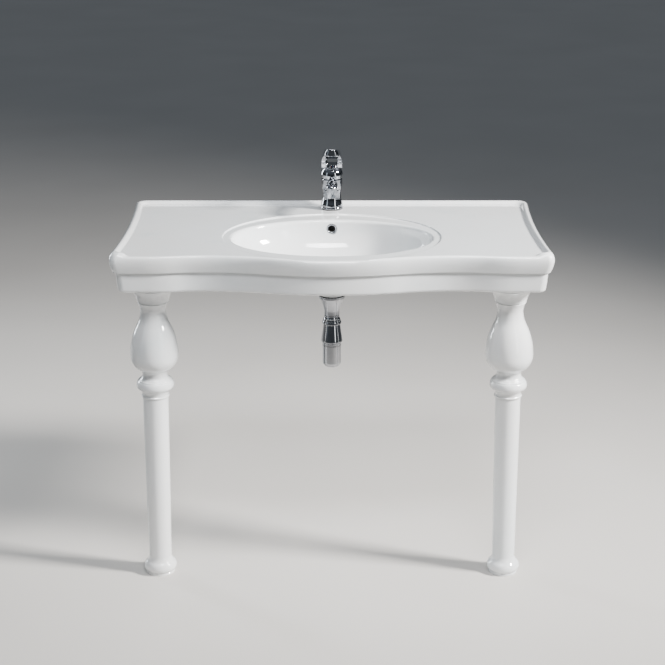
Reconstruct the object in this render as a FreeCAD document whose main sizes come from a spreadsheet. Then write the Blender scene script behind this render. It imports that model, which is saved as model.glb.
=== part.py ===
"""Console washbasin on two turned ceramic legs, with its mixer tap, pop-up waste and bottle trap.

Frame: X to the right, Y towards the wall, Z up. The origin is on the floor, midway between
the wall plane and the front of the bowed apron. All sizes are in millimetres.
"""
import FreeCAD, Part
import math
import os
import Sketcher

DIMENSIONS = {
    # the basin seen from above
    "overall_width": 1040.0,
    "overall_depth": 560.0,
    "recess_setback": 37.0,
    "recess_reach": 300.0,
    "corner_setback": 26.0,
    "corner_flat": 60.0,
    "front_corner_radius": 30.0,
    "back_corner_radius": 20.0,
    "back_narrowing": 4.0,
    "side_waist": 9.0,
    "wall_face_trim": 1.0,
    # the basin seen from the front
    "rim_height": 850.0,
    "lip_height": 8.0,
    "lip_width": 24.0,
    "lip_slope": 9.0,
    "upper_band_height": 50.0,
    "apron_height": 100.0,
    "nose_height": 12.0,
    "band_taper": 6.5,
    "band_step": 5.5,
    "lower_band_taper": 4.0,
    "lower_edge_round": 8.0,
    "deck_thickness": 14.0,
    "apron_wall": 15.0,
    "hollow_corner_radius": 12.0,
    "shelf_thickness": 24.0,
    "shelf_reach": 66.0,
    # the bowl
    "bowl_back_margin": 175.0,
    "bowl_front_margin": 53.0,
    "bowl_half_length": 243.0,
    "bowl_depth": 130.0,
    "bowl_edge_radius": 8.0,
    "bowl_wall": 12.0,
    "ring_side_margin": 23.0,
    "ring_depth_margin": 55.0,
    "ring_step": 3.0,
    "overflow_drop": 26.0,
    "overflow_radius": 9.5,
    "overflow_rim_radius": 14.0,
    "overflow_rim_depth": 3.0,
    "duct_half_width": 11.0,
    "duct_skin": 6.0,
    "duct_gap": 8.0,
    # holes in the basin
    "wall_bolt_spacing": 280.0,
    "wall_bolt_drop": 50.0,
    "wall_bolt_radius": 7.0,
    "tap_hole_radius": 17.5,
    "waste_hole_radius": 23.0,
    "waste_recess_radius": 33.0,
    "waste_recess_depth": 3.0,
    "waste_seat_radius": 34.0,
    "waste_seat_thickness": 18.0,
    # the legs
    "leg_side_margin": 91.0,
    "leg_front_margin": 120.0,
    "leg_top_radius": 54.0,
    "leg_top_band": 6.0,
    "leg_bead_fall": 41.0,
    "leg_bead_radius": 37.5,
    "leg_groove": 1.0,
    "leg_upper_neck_fall": 20.0,
    "leg_upper_neck_radius": 31.0,
    "leg_bulb_fall": 113.0,
    "leg_bulb_radius": 58.3,
    "leg_lower_neck_fall": 49.0,
    "leg_lower_neck_radius": 30.5,
    "leg_collar_fall": 28.0,
    "leg_collar_radius": 45.4,
    "leg_shoulder_fall": 21.0,
    "leg_shoulder_radius": 33.5,
    "leg_fillet_fall": 10.0,
    "leg_fillet_round": 3.0,
    "leg_column_top_radius": 31.2,
    "leg_column_foot_radius": 28.2,
    "leg_ankle_height": 46.0,
    "leg_foot_radius": 40.2,
    "leg_foot_height": 17.0,
    "leg_sole_radius": 36.0,
    "leg_wall": 10.0,
    "leg_crown": 26.0,
    "leg_gasket": 3.0,
    "leg_gasket_inset": 6.0,
    "leg_stud_radius": 5.0,
    "leg_stud_hole_play": 1.0,
    "leg_stud_rise": 20.0,
    "leg_insert_radius": 9.0,
    "leg_insert_length": 22.0,
    "leg_washer_radius": 15.0,
    "leg_washer_play": 0.3,
    "leg_washer": 2.5,
    "leg_nut_flats": 17.0,
    "leg_nut": 8.0,
    # the tap
    "tap_setback": 62.0,
    "tap_gasket": 2.0,
    "tap_gasket_inset": 1.0,
    "tap_base_radius": 29.0,
    "tap_base_edge": 4.0,
    "tap_waist_radius": 23.5,
    "tap_waist_height": 37.0,
    "tap_shoulder_radius": 27.0,
    "tap_shoulder_height": 72.0,
    "tap_top_height": 80.0,
    "chamber_radius": 17.6,
    "chamber_floor": 46.0,
    "cartridge_play": 0.1,
    "cartridge_height": 28.0,
    "nut_seat_radius": 22.0,
    "cartridge_nut_height": 8.0,
    "carrier_radius": 12.0,
    "carrier_play": 0.06,
    "carrier_height": 14.0,
    "carrier_ear_inner": 4.3,
    "carrier_ear_outer": 9.0,
    "pivot_height": 90.0,
    "pivot_pin_radius": 2.0,
    "pivot_pin_play": 0.06,
    "stem_radius": 4.0,
    "stem_rise": 29.0,
    "cap_radius": 26.0,
    "cap_wall": 1.5,
    "cap_opening_radius": 18.0,
    "lever_gap": 0.5,
    "lever_skirt": 2.2,
    "lever_skirt_front_drop": 3.0,
    "lever_skirt_slope": 12.0,
    "lever_hub_radius": 6.5,
    "lever_hub_depth": 5.0,
    "lever_reach": 97.0,
    "lever_tip_rise": 86.0,
    "lever_tip_thickness": 18.0,
    "lever_tip_half_width": 19.0,
    "lever_tip_corner": 14.0,
    "lever_back": 15.0,
    "lever_bend_rise": 66.0,
    "lever_arm_half_width": 26.5,
    "loop_half_width": 15.5,
    "loop_low": 30.0,
    "loop_high": 48.0,
    "grub_screw_radius": 2.5,
    "index_plug_radius": 3.6,
    "index_plug": 1.6,
    "spout_reach": 112.0,
    "spout_root_height": 62.0,
    "spout_crown_height": 78.5,
    "spout_half_width": 17.0,
    "spout_half_height": 13.0,
    "spout_thinning": 4.0,
    "nose_radius": 14.0,
    "nose_low": 68.0,
    "nose_high": 88.0,
    "nose_edge": 6.0,
    "water_way_radius": 5.5,
    "aerator_radius": 11.0,
    "aerator_depth": 13.0,
    "aerator_wall": 1.7,
    "aerator_lip": 3.0,
    "aerator_seal": 2.0,
    "aerator_play": 0.05,
    "aerator_hole_radius": 1.4,
    "aerator_hole_ring": 5.5,
    # what holds the tap
    "tail_radius": 5.0,
    "tail_end_length": 20.0,
    "tail_shank_radius": 4.5,
    "tail_offset": 9.5,
    "tail_grip": 12.0,
    "tail_drop": 100.0,
    "tap_stud_radius": 4.0,
    "tap_stud_offset": 12.0,
    "tap_stud_grip": 14.0,
    "tap_stud_drop": 60.0,
    "clamp_radius": 24.0,
    "clamp_slot_half_width": 16.0,
    "clamp_slot_front": 6.0,
    "clamp_gasket": 3.0,
    "clamp_plate": 2.0,
    "tap_nut_flats": 13.0,
    "tap_nut": 8.0,
    # the pop-up waste
    "waste_offset": 6.0,
    "lift_rod_radius": 2.5,
    "lift_rod_play": 0.08,
    "lift_rod_tilt": 15.0,
    "lift_rod_offset": 14.0,
    "lift_rod_grip": 8.0,
    "lift_knob_radius": 5.5,
    "lift_knob_low": 82.0,
    "lift_knob_length": 12.0,
    "lift_travel": 38.0,
    "rod_clamp_half_width": 7.0,
    "rod_clamp_half_depth": 6.0,
    "rod_clamp_above": 17.0,
    "rod_clamp_below": 8.0,
    "rod_clamp_slot_half_width": 2.9,
    "rod_clamp_slot_half_height": 5.0,
    "clamp_screw_radius": 2.0,
    "clamp_screw_head": 3.0,
    "pivot_rod_radius": 2.5,
    "pivot_rod_tail": 14.0,
    "pivot_ball_radius": 5.0,
    "pivot_ball_play": 0.08,
    "pivot_inner_arm": 34.0,
    "pivot_drop": 51.0,
    "port_radius": 10.0,
    "port_bore": 7.0,
    "port_nut_radius": 12.5,
    "port_nut_wall": 2.5,
    "port_end": 5.0,
    "rod_mouth_radius": 4.0,
    "flange_radius": 32.0,
    "flange_thickness": 3.0,
    "flange_seal": 1.5,
    "barrel_radius": 20.5,
    "barrel_bore": 18.0,
    "barrel_length": 40.0,
    "barrel_window_half_width": 5.0,
    "barrel_window_height": 9.0,
    "lower_seal": 4.0,
    "plug_radius": 22.0,
    "plug_thickness": 4.0,
    "plug_seal": 1.5,
    "plug_stem_radius": 4.0,
    "plug_eye_half_height": 3.6,
    "plug_eye_half_width": 2.7,
    "plug_stem_tail": 5.0,
    "waste_body_radius": 32.0,
    "waste_body_rim": 6.0,
    "waste_body_thread": 10.0,
    "waste_neck_radius": 19.0,
    "waste_neck_drop": 40.0,
    "waste_neck_length": 10.0,
    "waste_body_wall": 3.0,
    # the bottle trap
    "tail_pipe_radius": 16.0,
    "tail_pipe_wall": 1.5,
    "tail_pipe_socket": 8.0,
    "tail_pipe_length": 118.0,
    "pipe_play": 0.08,
    "inlet_nut_drop": 51.0,
    "inlet_nut_height": 22.0,
    "inlet_nut_radius": 18.6,
    "inlet_nut_rim_radius": 23.5,
    "inlet_nut_rim": 8.0,
    "inlet_washer": 3.0,
    "trap_neck_radius": 20.0,
    "trap_neck_length": 8.5,
    "trap_shoulder_radius": 20.4,
    "trap_foot_radius": 26.5,
    "trap_body_height": 54.0,
    "trap_wall": 2.2,
    "cup_radius": 23.0,
    "cup_height": 55.0,
    "cup_corner_radius": 12.0,
    "cup_wall": 2.0,
    "cup_neck_radius": 21.3,
    "cup_neck_height": 9.0,
    "cup_seal": 2.0,
    "outlet_drop": 27.0,
    "spigot_radius": 19.0,
    "spigot_length": 44.0,
    "spigot_socket": 12.0,
    "outlet_washer": 3.0,
    "outlet_nut_radius": 22.5,
    "outlet_nut_length": 18.0,
    "outlet_nut_wall": 3.0,
    "rosette_radius": 33.0,
    "rosette_thickness": 8.0,
    "rosette_edge": 2.0,
    "rosette_play": 0.2,
}

SHEET = "sizes"


class Length:
    """A size together with the sheet expression that works it out."""

    def __init__(self, value, text):
        self.value = value
        self.text = text

    def __add__(self, other):
        other = length(other)
        return Length(self.value + other.value, f"({self.text} + {other.text})")

    def __sub__(self, other):
        other = length(other)
        return Length(self.value - other.value, f"({self.text} - {other.text})")

    def __mul__(self, other):
        other = length(other)
        return Length(self.value * other.value, f"({self.text} * {other.text})")

    def __truediv__(self, other):
        other = length(other)
        return Length(self.value / other.value, f"({self.text} / {other.text})")

    def __neg__(self):
        return Length(-self.value, f"(0 - {self.text})")

    def __radd__(self, other):
        return length(other) + self

    def __rsub__(self, other):
        return length(other) - self

    def __rmul__(self, other):
        return length(other) * self


def length(number):
    if isinstance(number, Length):
        return number
    if number < 0:
        return Length(float(number), f"(0 - {-number!r})")
    return Length(float(number), repr(number))


def sine(angle):
    return Length(math.sin(math.radians(angle.value)), f"sin({angle.text} * 1 deg)")


def cosine(angle):
    return Length(math.cos(math.radians(angle.value)), f"cos({angle.text} * 1 deg)")


def tangent(angle):
    return Length(math.tan(math.radians(angle.value)), f"tan({angle.text} * 1 deg)")


doc = FreeCAD.newDocument("console_washbasin")
sheet = doc.addObject("Spreadsheet::Sheet", SHEET)
for row, (alias, number) in enumerate(DIMENSIONS.items(), start=1):
    sheet.set(f"A{row}", alias)
    sheet.set(f"B{row}", str(number))
    sheet.setAlias(f"B{row}", alias)
doc.recompute()


class Sizes:
    """Every named size of the sheet, as a Length."""

    def __init__(self):
        for name in DIMENSIONS:
            setattr(self, name, Length(float(sheet.get(name)), f"{SHEET}.{name}"))


s = Sizes()
nodes = []


# ---------------------------------------------------------------- how pieces are drawn

def vector(*numbers):
    return FreeCAD.Vector(*[length(number).value for number in numbers])


def place(item, x=0, y=0, z=0):
    """Bind an object's position to the sheet."""
    for axis, number in zip("xyz", (x, y, z)):
        item.setExpression(f"Placement.Base.{axis}", length(number).text)
    return item


def keep(item, label):
    """Give a finished sub-part its name and list it for export."""
    item.Label = label
    nodes.append(item)
    return item


def pin_point(sketch, curve, end, point):
    """Hold one end of a curve at its place, measured from the sketch's origin."""
    for kind, axis, number in (("DistanceX", -2, point[0]), ("DistanceY", -1, point[1])):
        number = length(number)
        if number.value == 0:
            sketch.addConstraint(Sketcher.Constraint("PointOnObject", curve, end, axis))
            continue
        index = sketch.addConstraint(Sketcher.Constraint(kind, -1, 1, curve, end, number.value))
        sketch.setExpression(f"Constraints[{index}]", number.text)


def trace(sketch, outline):
    """Draw a closed outline: points, each with the radius of the arc that leads to it.

    A positive radius turns to the left on the way to the point, a negative one to the right.
    """
    count = len(outline)
    ends = []
    for index in range(count):
        start = outline[index - 1]
        goal = outline[index]
        first = vector(start[0], start[1], 0)
        last = vector(goal[0], goal[1], 0)
        if len(goal) == 2:
            curve = sketch.addGeometry(Part.LineSegment(first, last))
            ends.append((curve, 1, 2))
            continue
        radius = length(goal[2])
        size = abs(radius.value)
        chord = last - first
        rise = math.sqrt(max(size ** 2 - (chord.Length / 2) ** 2, 0))
        left = FreeCAD.Vector(-chord.y, chord.x, 0).normalize()
        side = 1 if radius.value > 0 else -1
        centre = (first + last) / 2 + left * rise * side
        angles = [math.atan2(spot.y - centre.y, spot.x - centre.x) for spot in (first, last)]
        if side < 0:
            angles.reverse()
        circle = Part.Circle(centre, FreeCAD.Vector(0, 0, 1), size)
        curve = sketch.addGeometry(Part.ArcOfCircle(circle, angles[0], angles[1]))
        ends.append((curve, 1, 2) if side > 0 else (curve, 2, 1))
        index = sketch.addConstraint(Sketcher.Constraint("Radius", curve, size))
        sketch.setExpression(f"Constraints[{index}]", radius.text if side > 0 else (-radius).text)
    for index in range(count):
        curve, start, end = ends[index]
        pin_point(sketch, curve, end, outline[index])
        following = ends[(index + 1) % count]
        sketch.addConstraint(Sketcher.Constraint("Coincident", curve, end, following[0], following[1]))


def sketch_in(body, name, role, outline):
    sketch = body.newObject("Sketcher::SketchObject", name)
    plane = [part for part in body.Origin.OriginFeatures if part.Role == role][0]
    sketch.AttachmentSupport = [(plane, "")]
    sketch.MapMode = "FlatFace"
    trace(sketch, outline)
    return sketch


def turned(name, outline, x=0, y=0, z=0):
    """A piece turned on a lathe: outline is (radius, height) points beside the vertical axis."""
    body = doc.addObject("PartDesign::Body", name)
    section = sketch_in(body, name + "_section", "XZ_Plane", outline)
    turning = body.newObject("PartDesign::Revolution", name + "_turning")
    turning.Profile = section
    turning.ReferenceAxis = (section, ["V_Axis"])
    turning.Angle = 360
    return place(body, x, y, z)


def ring(name, outer, inner, low, high, x=0, y=0):
    return turned(name, [(inner, low), (outer, low), (outer, high), (inner, high)], x, y)


def extruded(name, role, outline, half_thickness):
    """A flat outline thickened evenly to both sides of its plane."""
    body = doc.addObject("PartDesign::Body", name)
    section = sketch_in(body, name + "_section", role, outline)
    pad = body.newObject("PartDesign::Pad", name + "_pad")
    pad.Profile = section
    pad.Midplane = True
    pad.setExpression("Length", (half_thickness * 2).text)
    return body


def cylinder(name, radius, long, x=0, y=0, z=0, towards=(0, 0, 1)):
    """A round bar that starts at x, y, z and runs in the given direction."""
    bar = doc.addObject("Part::Cylinder", name)
    bar.setExpression("Radius", length(radius).text)
    bar.setExpression("Height", length(long).text)
    bar.Placement.Rotation = FreeCAD.Rotation(FreeCAD.Vector(0, 0, 1), FreeCAD.Vector(*towards))
    return place(bar, x, y, z)


def tilted_cylinder(name, radius, long, x, y, z, tilt):
    """A round bar that leans from upright towards the wall by an angle."""
    bar = cylinder(name, radius, long, x, y, z)
    bar.Placement.Rotation = FreeCAD.Rotation(FreeCAD.Vector(-1, 0, 0), 1)
    bar.setExpression("Placement.Rotation.Angle", f"({tilt.text}) * 1 deg")
    return bar


def ball(name, radius, x=0, y=0, z=0):
    sphere = doc.addObject("Part::Sphere", name)
    sphere.setExpression("Radius", length(radius).text)
    return place(sphere, x, y, z)


def block(name, low, high):
    """A box between two corners."""
    box = doc.addObject("Part::Box", name)
    for side, start, end in zip(("Length", "Width", "Height"), low, high):
        box.setExpression(side, (length(end) - start).text)
    return place(box, *low)


def hexagon(name, flats, long, x=0, y=0, z=0):
    prism = doc.addObject("Part::Prism", name)
    prism.Polygon = 6
    prism.setExpression("Circumradius", (flats / 2 / cosine(length(30.0))).text)
    prism.setExpression("Height", length(long).text)
    return place(prism, x, y, z)


def fuse(name, *shapes):
    union = doc.addObject("Part::MultiFuse", name)
    union.Shapes = list(shapes)
    union.Refine = False
    return union


def cut(name, base, *tools):
    result = doc.addObject("Part::Cut", name)
    result.Base = base
    result.Tool = tools[0] if len(tools) == 1 else fuse(name + "_tools", *tools)
    result.Refine = False
    return result


def common(name, *shapes):
    overlap = doc.addObject("Part::MultiCommon", name)
    overlap.Shapes = list(shapes)
    overlap.Refine = False
    return overlap


def group(name, *shapes):
    """Like fasteners that share a name, each still a solid of its own."""
    compound = doc.addObject("Part::Compound", name)
    compound.Links = list(shapes)
    return compound


def ogee(start, goal, share, turn):
    """An S-curve of two arcs between two points, upright at both of its ends.

    share is how much of the way the first arc takes. turn is +1 if the first arc turns left.
    """
    across = goal[0] - start[0]
    along = goal[1] - start[1]
    whole = (across * across + along * along) / (across * 2)
    if whole.value < 0:
        whole = -whole
    middle = (start[0] + across * share, start[1] + along * share)
    return [(*middle, whole * share * turn), (*goal, whole * (1 - share) * -turn)]


# ---------------------------------------------------------------- where things stand

wall = s.overall_depth / 2
rim = s.rim_height
deck = rim - s.lip_height
apron_low = rim - s.apron_height
deck_underside = deck - s.deck_thickness
bowl_half_width = (s.overall_depth - s.bowl_back_margin - s.bowl_front_margin) / 2
bowl_y = wall - s.bowl_back_margin - bowl_half_width
ring_half_length = s.bowl_half_length + s.ring_side_margin
ring_half_width = bowl_half_width + s.ring_depth_margin
bowl_floor = deck - s.bowl_depth
bowl_turn = deck - s.ring_step - s.bowl_edge_radius
tap_y = wall - s.tap_setback
tap_seat = deck + s.tap_gasket
waste_y = bowl_y + s.waste_offset
waste_seat = bowl_floor - s.waste_seat_thickness
leg_offset = s.overall_width / 2 - s.leg_side_margin
leg_y = s.leg_front_margin - wall


# ---------------------------------------------------------------- the basin

def arc_between(start, goal, heading):
    """An arc that leaves start along heading and ends at goal."""
    chord = goal - start
    side = FreeCAD.Vector(-heading.y, heading.x, 0)
    if side.dot(chord) < 0:
        side = -side
    radius = chord.Length ** 2 / (2 * side.dot(chord))
    centre = start + side * radius
    middle = (start + goal) / 2 - centre
    middle = centre + middle.normalize() * radius
    return Part.Arc(start, middle, goal).toShape()


def shallow_arc(start, goal, sag):
    """An arc whose middle stands off the straight line by sag, towards +X if positive."""
    return Part.Arc(start, (start + goal) / 2 + FreeCAD.Vector(sag, 0, 0), goal).toShape()


def corner(centre, radius, start_degrees):
    """A quarter round, counterclockwise about its centre."""
    spots = []
    for degrees in (start_degrees, start_degrees + 45, start_degrees + 90):
        angle = math.radians(degrees)
        spots.append(centre + FreeCAD.Vector(math.cos(angle), math.sin(angle), 0) * radius)
    return Part.Arc(*spots).toShape()


def basin_outline(inset, back_inset, height, front_radius, back_radius):
    """The serpentine outline seen from above, drawn in by inset, as a wire at a height."""
    half = s.overall_width.value / 2 - inset
    half_back = half - s.back_narrowing.value
    back = wall.value - back_inset
    front = -wall.value + inset
    recess = front + s.recess_setback.value
    flank = front + s.corner_setback.value
    turn = half - front_radius
    flat = turn - s.corner_flat.value
    reach = s.recess_reach.value
    point = FreeCAD.Vector
    sideways = point(1, 0, 0)
    bow = point(0, front, height)
    right = []
    left = []
    for sign, edges in ((1, right), (-1, left)):
        hollow = point(sign * reach, recess, height)
        peak = point(sign * flat, flank, height)
        swell = (bow + hollow) / 2
        rise = (hollow + peak) / 2
        edges.append(arc_between(bow, swell, sideways))
        edges.append(arc_between(hollow, swell, sideways))
        edges.append(arc_between(hollow, rise, sideways))
        edges.append(arc_between(peak, rise, sideways))
        edges.append(Part.makeLine(peak, point(sign * turn, flank, height)))
        low = point(sign * half, flank + front_radius, height)
        high = point(sign * half_back, back - back_radius, height)
        start = 270 if sign > 0 else 180
        edges.append(corner(point(sign * turn, flank + front_radius, height), front_radius, start))
        edges.append(shallow_arc(low, high, -sign * s.side_waist.value))
        start = 0 if sign > 0 else 90
        middle = point(sign * (half_back - back_radius), back - back_radius, height)
        edges.append(corner(middle, back_radius, start))
    back_edge = Part.makeLine(
        point(half_back - back_radius, back, height), point(back_radius - half_back, back, height)
    )
    return Part.Wire(right + [back_edge] + left[::-1])


def deck_outline(inset, height):
    """The flat of the deck inside the raised lip, run out past the open front."""
    half = s.overall_width.value / 2 - inset
    half_back = half - s.back_narrowing.value
    back = wall.value - inset
    round_off = s.back_corner_radius.value
    front = -s.overall_depth.value
    shoulder = -wall.value + s.corner_setback.value + s.front_corner_radius.value
    point = FreeCAD.Vector
    corners = [point(-half, front, height), point(half, front, height), point(half, shoulder, height)]
    edges = [Part.makeLine(corners[0], corners[1]), Part.makeLine(corners[1], corners[2])]
    high = point(half_back, back - round_off, height)
    edges.append(shallow_arc(corners[2], high, -s.side_waist.value))
    edges.append(corner(point(half_back - round_off, back - round_off, height), round_off, 0))
    far = point(round_off - half_back, back, height)
    edges.append(Part.makeLine(point(half_back - round_off, back, height), far))
    edges.append(corner(point(round_off - half_back, back - round_off, height), round_off, 90))
    low = point(-half, shoulder, height)
    edges.append(shallow_arc(point(-half_back, back - round_off, height), low, s.side_waist.value))
    edges.append(Part.makeLine(low, corners[0]))
    return Part.Wire(edges)


def bowl_form(offset, top):
    """The oval bowl grown by offset, solid, up to a height."""
    radius = s.bowl_half_length.value + offset
    floor = bowl_floor.value - offset
    turn = bowl_turn.value
    point = FreeCAD.Vector
    round_wall = Part.Ellipse(point(radius, 0, turn), point(0, 0, floor), point(0, 0, turn))
    section = Part.Wire([
        Part.ArcOfEllipse(round_wall, 0, math.pi / 2).toShape(),
        Part.makeLine(point(radius, 0, turn), point(radius, 0, top)),
        Part.makeLine(point(radius, 0, top), point(0, 0, top)),
        Part.makeLine(point(0, 0, top), point(0, 0, floor)),
    ])
    return squeezed(Part.Face(section).revolve(point(0, 0, 0), point(0, 0, 1), 360), radius,
                    bowl_half_width.value + offset)


def squeezed(shape, half_length, half_width):
    """A round form made oval, and moved to the bowl's centre."""
    oval = FreeCAD.Matrix()
    oval.A22 = half_width / half_length
    oval.A24 = bowl_y.value
    return shape.transformGeometry(oval)


def bowl_mouth():
    """The soft edge between the ring and the bowl: a flared oval cutter."""
    round_off = s.bowl_edge_radius.value
    radius = s.bowl_half_length.value
    top = deck.value - s.ring_step.value
    point = FreeCAD.Vector
    bend = round_off * (1 - math.sqrt(0.5))
    section = Part.Wire([
        Part.makeLine(point(0, 0, top - round_off), point(radius, 0, top - round_off)),
        Part.Arc(point(radius, 0, top - round_off), point(radius + bend, 0, top - bend),
                 point(radius + round_off, 0, top)).toShape(),
        Part.makeLine(point(radius + round_off, 0, top), point(0, 0, top)),
        Part.makeLine(point(0, 0, top), point(0, 0, top - round_off)),
    ])
    return squeezed(Part.Face(section).revolve(point(0, 0, 0), point(0, 0, 1), 360), radius,
                    bowl_half_width.value)


def deck_ring():
    """The shallow oval step around the bowl."""
    step = Part.makeCylinder(ring_half_length.value, s.ring_step.value + s.lip_height.value,
                             FreeCAD.Vector(0, 0, deck.value - s.ring_step.value))
    return squeezed(step, ring_half_length.value, ring_half_width.value)


def box_between(low, high):
    low = vector(*low)
    high = vector(*high)
    return Part.makeBox(high.x - low.x, high.y - low.y, high.z - low.z, low)


def basin_shape():
    """Fired clay: a hollow slab with a moulded edge, an oval bowl and an overflow duct."""
    front_radius = s.front_corner_radius.value
    back_radius = s.back_corner_radius.value
    step_height = (rim - s.upper_band_height).value
    lower_inset = (s.band_taper + s.band_step).value
    tuck = lower_inset + s.lower_band_taper.value
    edge = s.lower_edge_round.value
    nose = (deck - s.nose_height).value
    lip = s.lip_height.value
    slope = s.lip_slope.value
    profile = [
        (tuck + edge * 0.8, apron_low.value),
        (tuck + edge * 0.25, apron_low.value + edge * 0.35),
        (tuck, apron_low.value + edge),
        (lower_inset, step_height),
        (s.band_taper.value, step_height + 1),
        (s.band_taper.value * 0.45, step_height + (nose - step_height) * 0.4),
        (s.band_taper.value * 0.1, step_height + (nose - step_height) * 0.75),
        (0, nose),
        (s.band_taper.value * 0.15, nose + s.nose_height.value * 0.5),
        (slope * 0.4, nose + s.nose_height.value * 0.9),
        (slope * 0.6, rim.value - lip * 0.5),
        (slope * 0.95, rim.value - lip * 0.12),
        (slope * 1.4, rim.value),
    ]
    wires = []
    for inset, height in profile:
        back_inset = max(height - (deck.value - slope), 0) * 0.35 - s.wall_face_trim.value
        wires.append(basin_outline(inset, back_inset, height, front_radius, back_radius))
    slab = Part.makeLoft(wires, True, True)
    recess = Part.makeLoft([
        deck_outline(s.lip_width.value, deck.value),
        deck_outline(s.lip_width.value - slope, rim.value + 0.5),
    ], True, True)

    wall_inset = tuck + s.apron_wall.value
    turn = s.hollow_corner_radius.value
    floor_wire = basin_outline(wall_inset, s.apron_wall.value, apron_low.value - 1, turn, turn)
    hollow_height = (deck_underside - apron_low).value + 1
    hollow = Part.Face(floor_wire).extrude(FreeCAD.Vector(0, 0, hollow_height))
    shelves = []
    for sign in (-1, 1):
        x = sign * leg_offset
        reach = s.shelf_reach
        shelf = box_between(
            (x - reach - (reach if sign < 0 else 0), leg_y - reach * 2, apron_low),
            (x + reach + (reach if sign > 0 else 0), leg_y + reach, apron_low + s.shelf_thickness),
        )
        shelves.append(shelf.common(hollow))
    behind = box_between((-s.overall_width, wall, 0), (s.overall_width, wall * 2, rim * 2))
    shell = slab.cut(recess).cut(hollow).cut(behind)

    skin = s.duct_skin.value
    gap = skin + s.duct_gap.value
    duct_top = (deck - s.overflow_drop + s.overflow_radius + s.duct_skin / 2).value
    below_deck = (deck_underside + s.deck_thickness / 2).value
    outside = bowl_form(s.bowl_wall.value, below_deck)
    chimney = bowl_form(gap + skin, below_deck).common(box_between(
        (-s.duct_half_width - skin, waste_y, waste_seat), (s.duct_half_width + skin, wall, deck)
    ))
    seat = Part.makeCylinder(
        s.waste_seat_radius.value, s.waste_seat_thickness.value, vector(0, waste_y, waste_seat)
    )
    body = shell.fuse([outside, chimney, seat] + shelves)

    way_high = (s.duct_half_width, wall, duct_top)
    duct = bowl_form(gap, duct_top).cut(bowl_form(skin, duct_top + 1)).common(
        box_between((-s.duct_half_width, waste_y, waste_seat), way_high)
    )
    up = FreeCAD.Vector(0, 0, 1)
    back = FreeCAD.Vector(0, 1, 0)
    bowl_back = (bowl_y + bowl_half_width).value
    overflow_z = (deck - s.overflow_drop).value
    holes = [
        deck_ring(),
        bowl_mouth(),
        bowl_form(0, (deck - s.ring_step).value),
        duct,
        Part.makeCylinder(s.overflow_radius.value, 2 * skin,
                          FreeCAD.Vector(0, bowl_back - skin, overflow_z), back),
        Part.makeCylinder(s.overflow_rim_radius.value, skin + s.overflow_rim_depth.value,
                          FreeCAD.Vector(0, bowl_back - skin, overflow_z), back),
        Part.makeCylinder(s.tap_hole_radius.value, 3 * s.deck_thickness.value,
                          vector(0, tap_y, deck_underside - s.deck_thickness), up),
        Part.makeCylinder(s.waste_hole_radius.value, 2 * s.waste_seat_thickness.value,
                          vector(0, waste_y, waste_seat - 1), up),
        Part.makeCylinder(s.waste_recess_radius.value, s.bowl_depth.value / 2,
                          vector(0, waste_y, bowl_floor - s.waste_recess_depth), up),
    ]
    for sign in (-1, 1):
        holes.append(Part.makeCylinder(
            s.wall_bolt_radius.value, 2 * s.apron_wall.value,
            vector(sign * s.wall_bolt_spacing / 2, wall - s.apron_wall * 1.5, rim - s.wall_bolt_drop), back,
        ))
        holes.append(Part.makeCylinder(
            (s.leg_stud_radius + s.leg_stud_hole_play).value, 3 * s.shelf_thickness.value,
            vector(sign * leg_offset, leg_y, apron_low - s.shelf_thickness), up,
        ))
    for hole in holes:
        body = body.cut(hole)
    return body


basin = doc.addObject("Part::Feature", "basin")
basin.Shape = basin_shape()
keep(basin, "basin")


# ---------------------------------------------------------------- the legs

leg_top = apron_low - s.leg_gasket
leg_hollow_radius = s.leg_column_foot_radius - s.leg_wall


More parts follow.
